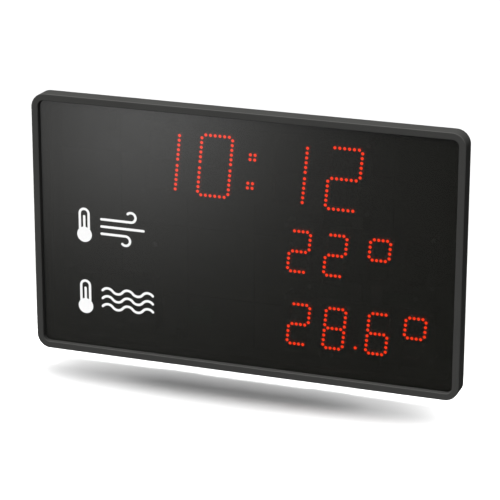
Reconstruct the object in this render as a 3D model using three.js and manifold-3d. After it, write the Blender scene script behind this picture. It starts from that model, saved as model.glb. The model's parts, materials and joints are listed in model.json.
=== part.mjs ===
// Wall display for a swimming pool: a clock line and two temperature lines behind a smoked window.
// Millimetres, +Z up. The wall is the plane y = 0 and the display looks towards -Y.
// The case is built in a frame of its own, whose origin is the middle of the rim's front plane.
// There y is a depth, counted from the rim's front towards the wall.
import * as THREE from "three";
import { mergeVertices } from "three/addons/utils/BufferGeometryUtils.js";
import Module from "manifold-3d";

const wasm = await Module();
wasm.setup();

// Sizes shared by every piece
const fitGap = 0.3;
const cutOverrun = 1;
const weldDistance = 0.0001;
const cornerSteps = 4;
const smallCornerSteps = 2;
const edgeSteps = 3;
const bendSteps = 3;
const lampSides = 5;
const smallSides = 6;
const bossSides = 8;
const roundSides = 12;
const sweepSteps = 6;

// Case: outline, rim and depth
const faceWidth = 500;
const faceHeight = 300;
const faceCornerRadius = 15;
const rimLand = 8;
const rimDepth = 20;
const rimEdgeRounding = 1;
const rimTaper = 0.5;
const caseDepth = 44;
const wallGap = 4;

// Front bezel, a moulding that is cored out from behind
const bezelWall = 2.5;
const openingWall = 2;
const windowRecess = 5.5;
const ledgeWidth = 6;
const ledgeThickness = 2.5;
const ledgeCornerRadius = 4;
const sealRibThickness = 2;

// Smoked window and the tape that holds it on the ledge
const windowThickness = 3;
const tapeThickness = 0.5;
const tapeEdge = 0.5;

// Rear shell: flange inside the rim, and the box behind it
const flangeThickness = 3;
const flangeClearance = 0.4;
const shellSealThickness = 1;
const boxInset = 14;
const boxCornerRadius = 8;
const boxEdgeRounding = 5;
const shellWall = 2.5;
const shellRibPitch = 80;
const shellRibThickness = 1.5;
const shellRibHeight = 3;

// Case screws, through the flange from behind
const caseScrewInset = 7.5;
const caseScrewShares = [-0.32, 0, 0.32];
const caseBossRadius = 3.5;
const caseScrewRadius = 1.4;
const caseScrewSpare = 0.8;
const caseScrewHeadRadius = 2.8;
const caseScrewHeadHeight = 2;
const caseBossFloor = 1.2;

// Circuit boards and their screws
const boardThickness = 1.6;
const boardMargin = 8;
const boardHoleInset = 4;
const boardCornerRadius = 2;
const boardScrewRadius = 1.4;
const boardScrewLength = 10;
const boardScrewHeadRadius = 2.6;
const boardScrewHeadHeight = 1.8;
const postRadius = 3.2;
const postHoleSpare = 1;

// Lamps, one round lamp for each point of light
const lampRadius = 2.4;
const lampHeight = 8;
const lampShoulder = 5.6;
const lampClearance = 1.5;
const digitSlantDegrees = 5.2;

// Height that the three boards leave over, as shares above the clock, the air and the pool line
const lineSpaceShares = [0.127, 0.235, 0.38];

// Clock line: four digits in two pairs, with a colon of two square groups
const clockShift = 7.9;
const clockPairSpread = 74.1;
const clockDigitPitch = 62.15;
const clockHalfHeight = 34.4;
const clockHalfWidth = 17.85;
const clockLampsInSegment = 6;
const clockLampPitchUp = 5.42;
const clockLampPitchAcross = 5.5;
const colonSpread = 16.2;
const colonDrop = 1.9;
const colonShift = 0.6;

// Temperature lines: four digits in two pairs, with a decimal point
const temperatureInset = 120.8;
const temperaturePairSpread = 45.5;
const temperatureDigitPitch = 41.65;
const temperatureHalfHeight = 23.2;
const temperatureHalfWidth = 11.3;
const temperatureLampsInSegment = 4;
const temperatureLampPitchUp = 5.47;
const temperatureLampPitchAcross = 4.93;
const pointDrop = 19.2;
const pointShift = 1.5;

// Ribbon cables and the headers that they plug into
const ribbonWidth = 12;
const ribbonThickness = 1;
const ribbonBend = 1.5;
const headerHeight = 4;
const headerDepth = 5;
const headerInset = 10;
const clockHeaderInset = 18;
const temperatureHeaderShares = [0.14, 0.32];
const ribbonBendShare = 0.45;

// Control board, on short posts behind the temperature lines
const controlWidth = 130;
const controlHeight = 75;
const controlGap = 1;
const controlPostShare = 0.49;
const controlClockHeaderDrop = 20;
const controlHeaderDrop = 34;
const processorSide = 14;
const processorHeight = 1.6;
const processorRise = 22;
const cellRadius = 10;
const cellHeight = 4.5;
const cellShare = -0.3;
const cellRise = 12.5;
const capacitorRadius = 3.2;
const capacitorHeight = 8;
const capacitorPitch = 9;
const capacitorShare = 0.43;
const capacitorRise = 40;

// Signal terminal on the control board, and mains terminal on the shell
const signalTerminalWays = 6;
const signalTerminalPitch = 5;
const signalTerminalHeight = 9;
const signalTerminalDepth = 8;
const signalTerminalInset = 26;
const signalTerminalDrop = 32;
const mainsTerminalWays = 3;
const mainsTerminalPitch = 10;
const mainsTerminalHeight = 16;
const mainsTerminalDepth = 14;
const mainsTerminalGap = 26;
const mainsTerminalRise = 34.5;
const terminalWireRadius = 1.6;
const terminalWireDepth = 5;

// Power supply, a potted block with two ears
const supplyWidth = 110;
const supplyHeight = 60;
const supplyDepth = 20;
const supplyCornerRadius = 3;
const supplySideGap = 4.5;
const supplyGap = 3;
const supplyEarLength = 9;
const supplyEarWidth = 12;
const supplyEarThickness = 3;
const supplyCapRecess = 1;
const supplyCapEdge = 4;

// Cable grommets in the back of the shell
const grommetShift = 120;
const grommetDrop = 25;
const grommetBoreRadius = 3.5;
const grommetGrooveRadius = 8.7;
const grommetFlangeRadius = 11;
const grommetFlangeThickness = 1.5;

// Setting buttons on the underside, and the switches that they press
const buttonShares = [0.16, 0.35];
const buttonRadius = 3.2;
const buttonProud = 2;
const buttonTravel = 1.2;
const buttonCollarRadius = 4.6;
const buttonCollarHeight = 1.2;
const buttonStemRadius = 1.3;
const switchWidth = 7;
const switchHeight = 8;
const switchDepth = 6;
const switchOverhang = 4;
const switchWellDepth = 3;

// Hanging: rods in two pockets of the shell rest in the hooks of the wall bracket
const hookWidth = 30;
const hookLipRise = 3;
const hookRunDrop = 1.2;
const rodRadius = 3.2;
const rodInset = 11.25;
const rodDrop = 28;
const rodSeatDepth = 3;
const pocketSideGap = 3;
const pocketAbove = 7;
const pocketBelow = 12;
const pocketFront = 7.25;
const pocketWall = 2;
const pocketCheek = 4.5;
const pocketSpreadShare = 0.5;

// Wall bracket: pressed steel sheet with hooks above and locking tabs below
const bracketSheet = 1.5;
const bracketSideReach = 15;
const bracketTopDrop = 8;
const bracketBottomRise = 16;
const bracketCornerRadius = 8;
const bracketBend = 2.25;
const bracketWeb = 50;
const bracketSideMargin = 45;
const bracketTopMargin = 39;
const bracketBottomMargin = 50;
const wallSlotShift = 120;
const wallSlotInset = 20;
const wallSlotRadius = 2.75;
const wallSlotHalfLength = 4.5;

// Locking tabs and the captive screws that hold the case down on them
const lockShift = 90;
const lockTabWidth = 50;
const lockTabReach = 15;
const lockTabGap = 0.5;
const lockInset = 7;
const lockSlotRadius = 2.2;
const lockScrewRadius = 1.8;
const lockScrewLength = 12;
const lockScrewHeadRadius = 3.5;
const lockScrewHeadHeight = 3;
const lockBossRadius = 4;
const lockBossHeight = 14;

// Places that follow from the sizes
const halfWidth = faceWidth / 2;
const halfHeight = faceHeight / 2;
const windowBack = windowRecess + windowThickness;
const ledgeFront = windowBack + tapeThickness;
const ledgeBack = ledgeFront + ledgeThickness;
const flangeFront = rimDepth - flangeThickness;
const boxHalfWidth = halfWidth - boxInset;
const boxHalfHeight = halfHeight - boxInset;
const innerHalfWidth = boxHalfWidth - shellWall;
const innerTop = boxHalfHeight - shellWall;
const innerBottom = -innerTop;
const innerBack = caseDepth - shellWall;
const boardFront = windowBack + lampClearance + lampHeight;
const boardBack = boardFront + boardThickness;
const spareDepth = innerBack - boardBack - 2 * headerHeight - boardThickness;
const controlBack = innerBack - controlPostShare * spareDepth;
const controlFront = controlBack - boardThickness;
const lockBossTop = lockBossHeight - boxHalfHeight;
const controlBottom = lockBossTop + controlGap;
const controlTop = controlBottom + controlHeight;
const rodDepth = caseDepth - rodInset;
const rodHeight = halfHeight - rodDrop;
const rodBed = rodRadius + fitGap;
const supplyBack = innerBack - shellRibHeight;
const supplyX = supplySideGap + supplyEarLength + supplyWidth / 2 - innerHalfWidth;
const supplyZ = lockBossTop + supplyGap + supplyHeight / 2;
const buttonDepth = controlFront - switchDepth / 2;
const bracketTop = rodHeight - bracketTopDrop;
const bracketBottom = bracketBottomRise - boxHalfHeight;
const digitSlant = Math.tan(THREE.MathUtils.degToRad(digitSlantDegrees));
const temperatureX = halfWidth - temperatureInset;
const buttonPlaces = buttonShares.map((share) => temperatureX + share * controlWidth);

// Heights of the three lines, from the room that their boards leave over
const clockBoardHeight = 2 * (clockHalfHeight + boardMargin);
const temperatureBoardHeight = 2 * (temperatureHalfHeight + boardMargin);
const spareHeight = innerTop - innerBottom - clockBoardHeight - 2 * temperatureBoardHeight;
const [aboveClock, aboveAir, abovePool] = lineSpaceShares.map((share) => share * spareHeight);
const clockZ = innerTop - aboveClock - clockBoardHeight / 2;
const airZ = clockZ - clockBoardHeight / 2 - aboveAir - temperatureBoardHeight / 2;
const poolZ = airZ - temperatureBoardHeight - abovePool;
const headerPlaces = temperatureHeaderShares.map((share) => temperatureX + share * controlWidth);

const clockLine = {
  x: clockShift,
  z: clockZ,
  pairSpread: clockPairSpread,
  digitPitch: clockDigitPitch,
  digitHalfHeight: clockHalfHeight,
  digitHalfWidth: clockHalfWidth,
  lampsInSegment: clockLampsInSegment,
  lampPitchUp: clockLampPitchUp,
  lampPitchAcross: clockLampPitchAcross,
};
const clockEnd = clockShift + lineWidth(clockLine) / 2;
clockLine.headerX = clockEnd - clockHeaderInset;

const airLine = {
  x: temperatureX,
  z: airZ,
  pairSpread: temperaturePairSpread,
  digitPitch: temperatureDigitPitch,
  digitHalfHeight: temperatureHalfHeight,
  digitHalfWidth: temperatureHalfWidth,
  lampsInSegment: temperatureLampsInSegment,
  lampPitchUp: temperatureLampPitchUp,
  lampPitchAcross: temperatureLampPitchAcross,
  headerX: headerPlaces[0],
};
const poolLine = { ...airLine, z: poolZ, headerX: headerPlaces[1] };

// The pockets lie between the clock's board and the side walls
const pocketHalfWidth = hookWidth / 2 + pocketSideGap + pocketCheek;
const pocketSpare = innerHalfWidth - clockEnd - 2 * pocketHalfWidth;
const hookShift = clockEnd + pocketHalfWidth + pocketSpreadShare * pocketSpare;
const bracketHalfWidth = hookShift + hookWidth / 2 + bracketSideReach;
const ribbonLandings = [
  [clockLine, controlTop - controlClockHeaderDrop],
  [airLine, controlTop - controlHeaderDrop],
  [poolLine, controlTop - controlHeaderDrop],
];
const grommetPlaces = [
  [-grommetShift, -grommetDrop],
  [grommetShift, -grommetDrop],
];

// Closed meshes become solids here, and solids become meshes again
function toSolid(geometry) {
  const bare = geometry.clone();
  bare.deleteAttribute("normal");
  bare.deleteAttribute("uv");
  const merged = mergeVertices(bare, weldDistance);
  const index = merged.index.array;
  const corners = [];
  for (let i = 0; i < index.length; i += 3) {
    const [a, b, c] = [index[i], index[i + 1], index[i + 2]];
    if (a !== b && b !== c && c !== a) corners.push(a, b, c);
  }
  const vertProperties = merged.attributes.position.array;
  const triVerts = new Uint32Array(corners);
  return new wasm.Manifold(new wasm.Mesh({ numProp: 3, vertProperties, triVerts }));
}

function toGeometry(solid) {
  const { vertProperties, triVerts } = solid.getMesh();
  const geometry = new THREE.BufferGeometry();
  geometry.setAttribute("position", new THREE.BufferAttribute(vertProperties, 3));
  geometry.setIndex(new THREE.BufferAttribute(triVerts, 1));
  const faceted = geometry.toNonIndexed();
  faceted.computeVertexNormals();
  return faceted;
}

function join(solids) {
  return solids.reduce((whole, solid) => whole.add(solid));
}

function cut(solid, tools) {
  return tools.reduce((rest, tool) => rest.subtract(tool), solid);
}

// Outlines lie in the plane of x and z, and run anticlockwise as seen from the front
function roundedOutline(halfX, halfZ, radius, x = 0, z = 0, steps = cornerSteps) {
  const points = [];
  for (let corner = 0; corner < 4; corner++) {
    const middleX = x + (corner === 0 || corner === 3 ? halfX - radius : radius - halfX);
    const middleZ = z + (corner < 2 ? halfZ - radius : radius - halfZ);
    for (let step = 0; step <= steps; step++) {
      const angle = (corner + step / steps) * (Math.PI / 2);
      const spoke = new THREE.Vector2(Math.cos(angle), Math.sin(angle)).multiplyScalar(radius);
      points.push(spoke.add(new THREE.Vector2(middleX, middleZ)));
    }
  }
  return points;
}

function faceOutline(inset, radius = faceCornerRadius - inset) {
  return roundedOutline(halfWidth - inset, halfHeight - inset, Math.max(radius, fitGap));
}

function boxOutline(inset) {
  return faceOutline(boxInset + inset, boxCornerRadius - inset);
}

// Skin through outlines at rising depths, closed by a cap at each end
function loft(sections) {
  const count = sections[0].outline.length;
  const positions = sections.flatMap(({ depth, outline }) =>
    outline.flatMap((point) => [point.x, depth, point.y]),
  );
  const index = [];
  for (let row = 0; row + 1 < sections.length; row++) {
    for (let i = 0; i < count; i++) {
      const [near, next] = [row * count + i, row * count + ((i + 1) % count)];
      index.push(near, near + count, next + count, near, next + count, next);
    }
  }
  const last = (sections.length - 1) * count;
  for (const [a, b, c] of THREE.ShapeUtils.triangulateShape(sections[0].outline, [])) {
    index.push(a, b, c, last + a, last + c, last + b);
  }
  const geometry = new THREE.BufferGeometry();
  geometry.setAttribute("position", new THREE.Float32BufferAttribute(positions, 3));
  geometry.setIndex(index);
  return toSolid(geometry);
}

function prism(outline, front, back) {
  return loft([
    { depth: front, outline },
    { depth: back, outline },
  ]);
}

function ring(outer, inner, front, back) {
  return prism(outer, front, back).subtract(prism(inner, front - cutOverrun, back + cutOverrun));
}

function block(low, high) {
  const [from, to] = [new THREE.Vector3(...low), new THREE.Vector3(...high)];
  const size = to.clone().sub(from);
  const middle = from.add(to).multiplyScalar(0.5);
  return toSolid(new THREE.BoxGeometry(size.x, size.y, size.z).translate(middle.x, middle.y, middle.z));
}

// Round bars along each axis
function barAlongDepth(radius, front, back, x, z, sides = roundSides) {
  const bar = new THREE.CylinderGeometry(radius, radius, back - front, sides);
  return toSolid(bar.translate(x, (front + back) / 2, z));
}

function barUpright(radius, bottom, top, x, depth, sides = roundSides) {
  const bar = new THREE.CylinderGeometry(radius, radius, top - bottom, sides).rotateX(Math.PI / 2);
  return toSolid(bar.translate(x, depth, (bottom + top) / 2));
}

function barAcross(radius, left, right, depth, z, sides = roundSides) {
  const bar = new THREE.CylinderGeometry(radius, radius, right - left, sides).rotateZ(Math.PI / 2);
  return toSolid(bar.translate((left + right) / 2, depth, z));
}

// A profile of depth and height, swept from left to right
function sweepAcross(profile, left, right) {
  const settings = { depth: right - left, bevelEnabled: false, curveSegments: sweepSteps };
  const swept = new THREE.ExtrudeGeometry(profile, settings);
  swept.rotateX(Math.PI / 2);
  swept.rotateZ(Math.PI / 2);
  return toSolid(swept.translate(left, 0, 0));
}

// A profile of radius and height, turned round its own Y axis
function turned(profile, sides) {
  const points = profile.map(([radius, height]) => new THREE.Vector2(radius, height));
  return toSolid(new THREE.LatheGeometry(points, sides));
}

// A screw whose head lies on the side of -Y and whose shank points to +Y
function screw(radius, length, headRadius, headHeight, sides) {
  return turned(
    [
      [0, -headHeight],
      [headRadius, -headHeight],
      [headRadius, 0],
      [radius, 0],
      [radius, length],
      [0, length],
    ],
    sides,
  );
}

// Places of the case screws: three above, three below and one at each side
function caseScrewPlaces() {
  const [sideX, edgeZ] = [halfWidth - caseScrewInset, halfHeight - caseScrewInset];
  const above = caseScrewShares.map((share) => [share * faceWidth, edgeZ]);
  const below = caseScrewShares.map((share) => [share * faceWidth, -edgeZ]);
  return [...above, ...below, [-sideX, 0], [sideX, 0]];
}

// Front bezel: rounded rim, recess for the window, ledge, seal rib and screw bosses
function makeBezel() {
  const edge = [];
  for (let step = 0; step <= edgeSteps; step++) {
    const angle = (step / edgeSteps) * (Math.PI / 2);
    const inset = rimEdgeRounding * (1 - Math.sin(angle));
    edge.push({ depth: rimEdgeRounding * (1 - Math.cos(angle)), outline: faceOutline(inset) });
  }
  const outside = loft([...edge, { depth: rimDepth, outline: faceOutline(rimTaper) }]);
  const room = prism(faceOutline(rimTaper + bezelWall), bezelWall, rimDepth + cutOverrun);
  const core = prism(faceOutline(rimLand - openingWall), rimEdgeRounding, ledgeBack);
  const ribInset = rimLand + ledgeWidth - sealRibThickness;
  const ribOutline = faceOutline(ribInset, ledgeCornerRadius + sealRibThickness);
  const rib = prism(ribOutline, ledgeFront, flangeFront - shellSealThickness);
  const bosses = caseScrewPlaces().map(([x, z]) =>
    barAlongDepth(caseBossRadius, rimEdgeRounding, flangeFront, x, z, bossSides),
  );
  const body = join([cut(outside, [cut(room, [core])]), rib, ...bosses]);
  const holes = caseScrewPlaces().map(([x, z]) =>
    barAlongDepth(caseScrewRadius + fitGap, ledgeFront + caseBossFloor, rimDepth, x, z, smallSides),
  );
  return cut(body, [
    prism(faceOutline(rimLand), -cutOverrun, ledgeFront),
    prism(faceOutline(rimLand + ledgeWidth, ledgeCornerRadius), -cutOverrun, rimDepth + cutOverrun),
    ...holes,
  ]);
}

function makeWindow() {
  return prism(faceOutline(rimLand + fitGap), windowRecess, windowBack);
}

function makeWindowTape() {
  const outer = faceOutline(rimLand + fitGap + tapeEdge);
  const inner = faceOutline(rimLand + ledgeWidth - tapeEdge, ledgeCornerRadius + tapeEdge);
  return ring(outer, inner, windowBack, ledgeFront);
}

function makeShellSeal() {
  const inset = rimLand + ledgeWidth;
  const outer = faceOutline(inset - sealRibThickness, ledgeCornerRadius + sealRibThickness);
  const inner = faceOutline(inset, ledgeCornerRadius);
  return ring(outer, inner, flangeFront - shellSealThickness, flangeFront);
}

// Corner holes of a board that is centred at x and z
function boardHoles(x, z, width, height) {
  const [reachX, reachZ] = [width / 2 - boardHoleInset, height / 2 - boardHoleInset];
  return [
    [x - reachX, z - reachZ],
    [x + reachX, z - reachZ],
    [x - reachX, z + reachZ],
    [x + reachX, z + reachZ],
  ];
}

function makeBoardBlank(x, z, width, height, front, back) {
  const [ahead, behind] = [front - cutOverrun, back + cutOverrun];
  const holes = boardHoles(x, z, width, height).map(([holeX, holeZ]) =>
    barAlongDepth(boardScrewRadius + fitGap, ahead, behind, holeX, holeZ, smallSides),
  );
  const outline = roundedOutline(width / 2, height / 2, boardCornerRadius, x, z, smallCornerSteps);
  return cut(prism(outline, front, back), holes);
}

function lineWidth(line) {
  const slantReach = digitSlant * line.digitHalfHeight;
  return 2 * (line.pairSpread + line.digitPitch / 2 + line.digitHalfWidth + slantReach + boardMargin);
}

function lineHeight(line) {
  return 2 * (line.digitHalfHeight + boardMargin);
}

function lineHoles(line) {
  return boardHoles(line.x, line.z, lineWidth(line), lineHeight(line));
}

// Lamps of one digit, as places across and up from its middle before the slant
function digitLamps(line) {
  const [halfX, halfZ] = [line.digitHalfWidth, line.digitHalfHeight];
  const lamps = [];
  for (let lamp = 0; lamp < line.lampsInSegment; lamp++) {
    const step = lamp - (line.lampsInSegment - 1) / 2;
    for (const z of [-halfZ, 0, halfZ]) lamps.push([step * line.lampPitchAcross, z]);
    for (const x of [-halfX, halfX]) {
      for (const z of [-halfZ / 2, halfZ / 2]) lamps.push([x, z + step * line.lampPitchUp]);
    }
  }
  return lamps;
}

function lineLamps(line, extraLamps) {
  const lamps = [...extraLamps];
  for (const pair of [-line.pairSpread, line.pairSpread]) {
    for (const half of [-line.digitPitch / 2, line.digitPitch / 2]) {
      for (const [across, up] of digitLamps(line)) lamps.push([pair + half + across, up]);
    }
  }
  return lamps.map(([across, up]) => [line.x + across + digitSlant * up, line.z + up]);
}

function colonLamps() {
  const half = clockLampPitchUp / 2;
  const lamps = [];
  for (const group of [-colonSpread, colonSpread]) {
    for (const across of [-half, half]) {
      for (const up of [-half, half]) lamps.push([across - colonShift, group + up - colonDrop]);
    }
  }
  return lamps;
}

function headerHeightOf(line) {
  return line.z - lineHeight(line) / 2 + headerInset;
}

// Board of one line: its lamps in front, and the header for its ribbon behind
function makeDisplayBoard(line, extraLamps) {
  const blank = makeBoardBlank(line.x, line.z, lineWidth(line), lineHeight(line), boardFront, boardBack);
  const lamp = turned(
    [
      [0, -boardThickness / 2],
      [lampRadius, -boardThickness / 2],
      [lampRadius, lampShoulder],
      [0, lampHeight],
    ],
    lampSides,
  ).rotate([180, 0, 0]);
  const lamps = lineLamps(line, extraLamps).map(([x, z]) => lamp.translate([x, boardFront, z]));
  const [left, right] = [line.headerX - ribbonWidth / 2, line.headerX + ribbonWidth / 2];
  const [low, high] = [headerHeightOf(line) - headerDepth / 2, headerHeightOf(line) + headerDepth / 2];
  const rooted = boardFront + boardThickness / 2;
  const header = block([left, rooted, low], [right, boardBack + headerHeight, high]);
  return join([blank, header, ...lamps]);
}

// Flat cable from a display board's header to one on the control board
function ribbonCorners(line, controlHeaderZ) {
  const from = boardBack + headerHeight + fitGap;
  const to = controlFront - headerHeight - fitGap;
  const middle = (from + to) / 2;
  return [
    new THREE.Vector2(from, headerHeightOf(line)),
    new THREE.Vector2(middle, headerHeightOf(line)),
    new THREE.Vector2(middle, controlHeaderZ),
    new THREE.Vector2(to, controlHeaderZ),
  ];
}

// A strip of even thickness along a route whose corners are square
function stripProfile(corners, thickness, bend) {
  const sides = [[], []];
  const place = (point, along) => {
    const across = new THREE.Vector2(-along.y, along.x).multiplyScalar(thickness / 2);
    sides[0].push(point.clone().add(across));
    sides[1].unshift(point.clone().sub(across));
  };
  const directions = corners.slice(1).map((corner, i) => corner.clone().sub(corners[i]).normalize());
  place(corners[0], directions[0]);
  for (let i = 1; i + 1 < corners.length; i++) {
    const [arriving, leaving] = [directions[i - 1], directions[i]];
    for (let step = 0; step <= bendSteps; step++) {
      const angle = (step / bendSteps) * (Math.PI / 2);
      const along = arriving.clone().multiplyScalar(Math.cos(angle));
      along.addScaledVector(leaving, Math.sin(angle));
      const point = corners[i].clone().addScaledVector(arriving, -bend * (1 - Math.sin(angle)));
      place(point.addScaledVector(leaving, bend * (1 - Math.cos(angle))), along);
    }
  }
  place(corners.at(-1), directions.at(-1));
  return new THREE.Shape([...sides[0], ...sides[1]]);
}

function makeRibbon(line, controlHeaderZ) {
  const corners = ribbonCorners(line, controlHeaderZ);
  const room = corners.at(-1).x - corners[0].x;
  const profile = stripProfile(corners, ribbonThickness, Math.min(ribbonBend, ribbonBendShare * room));
  return sweepAcross(profile, line.headerX - ribbonWidth / 2, line.headerX + ribbonWidth / 2);
}

// Rear shell: flange, hollow box with rounded back edges, and what is moulded inside it
function shellSkin(inset, front, back) {
  const rounding = boxEdgeRounding - inset;
  const edge = [{ depth: front, outline: boxOutline(inset) }];
  for (let step = 0; step <= edgeSteps; step++) {
    const angle = (step / edgeSteps) * (Math.PI / 2);
    const depth = back - rounding * (1 - Math.sin(angle));
    edge.push({ depth, outline: boxOutline(inset + rounding * (1 - Math.cos(angle))) });
  }
  return loft(edge);
}

function shellRibs() {
  const [reachX, reachZ] = [boxHalfWidth - shellWall / 2, boxHalfHeight - shellWall / 2];
  const [top, root] = [innerBack - shellRibHeight, caseDepth - shellWall / 2];
  const half = shellRibThickness / 2;
  const [countX, countZ] = [innerHalfWidth, innerTop].map((reach) => Math.floor(reach / shellRibPitch));
  const ribs = [];
  for (let k = -countX; k <= countX; k++) {
    ribs.push(block([k * shellRibPitch - half, top, -reachZ], [k * shellRibPitch + half, root, reachZ]));
  }
  for (let k = -countZ; k <= countZ; k++) {
    ribs.push(block([-reachX, top, k * shellRibPitch - half], [reachX, root, k * shellRibPitch + half]));
  }
  return join(ribs).intersect(shellSkin(shellWall / 2, flangeFront, caseDepth - shellWall / 2));
}

// Posts that carry a board, each as its place and the depth of its top
function shellPosts() {
  const lines = [clockLine, airLine, poolLine];
  const boards = lines.flatMap((line) => lineHoles(line).map((hole) => [...hole, boardBack]));
  const control = controlHoles().map((hole) => [...hole, controlBack]);
  const supply = supplyHoles().map((hole) => [...hole, supplyBack]);
  return [...boards, ...control, ...supply];
}

function controlHoles() {
  return boardHoles(temperatureX, controlBottom + controlHeight / 2, controlWidth, controlHeight);
}

function makePost([x, z, top]) {
  return barAlongDepth(postRadius, top, caseDepth - shellWall / 2, x, z, smallSides);
}

function makePostHole([x, z, top]) {
  const bottom = Math.min(top + boardScrewLength, innerBack);
  return barAlongDepth(boardScrewRadius + fitGap, top - cutOverrun, bottom, x, z, smallSides);
}

// Pocket for one hook, at the side that sign names
function pocketBlock(sign) {
  const front = rodDepth - pocketFront - pocketWall;
  return block(
    [sign * hookShift - pocketHalfWidth, front, rodHeight - pocketBelow - pocketWall],
    [sign * hookShift + pocketHalfWidth, caseDepth - shellWall / 2, rodHeight + pocketAbove + pocketWall],
  );
}

function pocketRoom(sign) {
  const reach = hookWidth / 2 + pocketSideGap;
  return block(
    [sign * hookShift - reach, rodDepth - pocketFront, rodHeight - pocketBelow],
    [sign * hookShift + reach, caseDepth + cutOverrun, rodHeight + pocketAbove],
  );
}

// The rod goes in through the outer cheek and stops in the inner one
function rodBar(sign, radius, innerGap, outerReach) {
  const inner = hookShift - hookWidth / 2 - pocketSideGap - rodSeatDepth + innerGap;
  const outer = hookShift + pocketHalfWidth + outerReach;
  const [left, right] = sign > 0 ? [inner, outer] : [-outer, -inner];
  return barAcross(radius, left, right, rodDepth, rodHeight);
}

function lockBoss(x) {
  const depth = caseDepth - lockInset;
  const [bottom, back] = [shellWall / 2 - boxHalfHeight, caseDepth - shellWall / 2];
  const web = block([x - lockBossRadius, depth, bottom], [x + lockBossRadius, back, lockBossTop]);
  return barUpright(lockBossRadius, bottom, lockBossTop, x, depth, bossSides).add(web);
}

function lockBossHole(x) {
  const bottom = -boxHalfHeight - cutOverrun;
  const top = lockBossTop - shellWall / 2;
  return barUpright(lockScrewRadius + fitGap, bottom, top, x, caseDepth - lockInset);
}

function buttonHole(x) {
  const [bottom, top] = [-boxHalfHeight - cutOverrun, innerBottom + cutOverrun];
  return barUpright(buttonRadius + fitGap, bottom, top, x, buttonDepth);
}

function makeShell() {
  const flange = prism(faceOutline(rimTaper + bezelWall + flangeClearance), flangeFront, rimDepth);
  const outside = flange.add(shellSkin(0, flangeFront, caseDepth));
  const hollow = cut(outside, [shellSkin(shellWall, flangeFront - cutOverrun, innerBack)]);
  const posts = shellPosts();
  const sides = [-1, 1];
  const locks = [-lockShift, lockShift];
  const added = [
    shellRibs(),
    ...posts.map(makePost),
    ...sides.map(pocketBlock),
    ...locks.map(lockBoss),
  ];
  const [ahead, past] = [flangeFront - cutOverrun, rimDepth + cutOverrun];
  const screwHoles = caseScrewPlaces().map(([x, z]) =>
    barAlongDepth(caseScrewRadius + fitGap, ahead, past, x, z, smallSides),
  );
  const [ribFront, behind] = [innerBack - shellRibHeight, caseDepth + cutOverrun];
  const grommetHoles = grommetPlaces.map(([x, z]) =>
    barAlongDepth(grommetGrooveRadius + fitGap, ribFront, behind, x, z),
  );
  return cut(join([hollow, ...added]), [
    ...sides.map(pocketRoom),
    ...sides.map((sign) => rodBar(sign, rodRadius + fitGap, 0, cutOverrun)),
    ...posts.map(makePostHole),
    ...locks.map(lockBossHole),
    ...buttonPlaces.map(buttonHole),
    ...grommetHoles,
    ...screwHoles,
  ]);
}

// Control board: processor, clock cell, capacitors and the three ribbon headers
function makeControlBoard() {
  const middleZ = controlBottom + controlHeight / 2;
  const rooted = controlFront + boardThickness / 2;
  const half = processorSide / 2;
  const processorZ = controlBottom + processorRise;
  const processor = block(
    [temperatureX - half, controlFront - processorHeight, processorZ - half],
    [temperatureX + half, rooted, processorZ + half],
  );
  const [cellX, cellZ] = [temperatureX + cellShare * controlWidth, controlBottom + cellRise];
  const cell = barAlongDepth(cellRadius, controlFront - cellHeight, rooted, cellX, cellZ);
  const capacitorX = temperatureX + capacitorShare * controlWidth;
  const capacitorZ = controlBottom + capacitorRise;
  const capacitors = [capacitorZ, capacitorZ + capacitorPitch].map((z) =>
    barAlongDepth(capacitorRadius, controlFront - capacitorHeight, rooted, capacitorX, z, smallSides),
  );
  const headers = ribbonLandings.map(([line, z]) =>
    block(
      [line.headerX - ribbonWidth / 2, controlFront - headerHeight, z - headerDepth / 2],
      [line.headerX + ribbonWidth / 2, rooted, z + headerDepth / 2],
    ),
  );
  const sizes = [controlWidth, controlHeight, controlFront, controlBack];
  const board = makeBoardBlank(temperatureX, middleZ, ...sizes);
  return join([board, processor, cell, ...capacitors, ...headers]);
}

// Row of screw terminals, with a wire mouth above each
function makeTerminal({ ways, pitch, height, depth, back, x, z }) {
  const reach = (ways * pitch) / 2;
  const top = z + depth / 2;
  const body = block([x - reach, back - height, z - depth / 2], [x + reach, back, top]);
  const mouths = [];
  for (let way = 0; way < ways; way++) {
    const wayX = x - reach + (way + 0.5) * pitch;
    const wayDepth = back - height / 2;
    const bottom = top - terminalWireDepth;
    mouths.push(barUpright(terminalWireRadius, bottom, top + cutOverrun, wayX, wayDepth, smallSides));
  }
  return cut(body, mouths);
}

function makeSignalTerminal() {
  return makeTerminal({
    ways: signalTerminalWays,
    pitch: signalTerminalPitch,
    height: signalTerminalHeight,
    depth: signalTerminalDepth,
    back: controlFront,
    x: temperatureX - controlWidth / 2 + signalTerminalInset,
    z: controlTop - signalTerminalDrop,
  });
}

function makeMainsTerminal() {
  const halfTerminal = (mainsTerminalWays * mainsTerminalPitch) / 2;
  return makeTerminal({
    ways: mainsTerminalWays,
    pitch: mainsTerminalPitch,
    height: mainsTerminalHeight,
    depth: mainsTerminalDepth,
    back: innerBack,
    x: supplyX + supplyWidth / 2 + supplyEarLength + mainsTerminalGap + halfTerminal,
    z: innerBottom + mainsTerminalRise,
  });
}

// Power supply: a potted block with a sunk top and an ear at each end
function supplyHoles() {
  const reach = supplyWidth / 2 + supplyEarLength - supplyEarWidth / 2;
  return [
    [supplyX - reach, supplyZ],
    [supplyX + reach, supplyZ],
  ];
}

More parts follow.
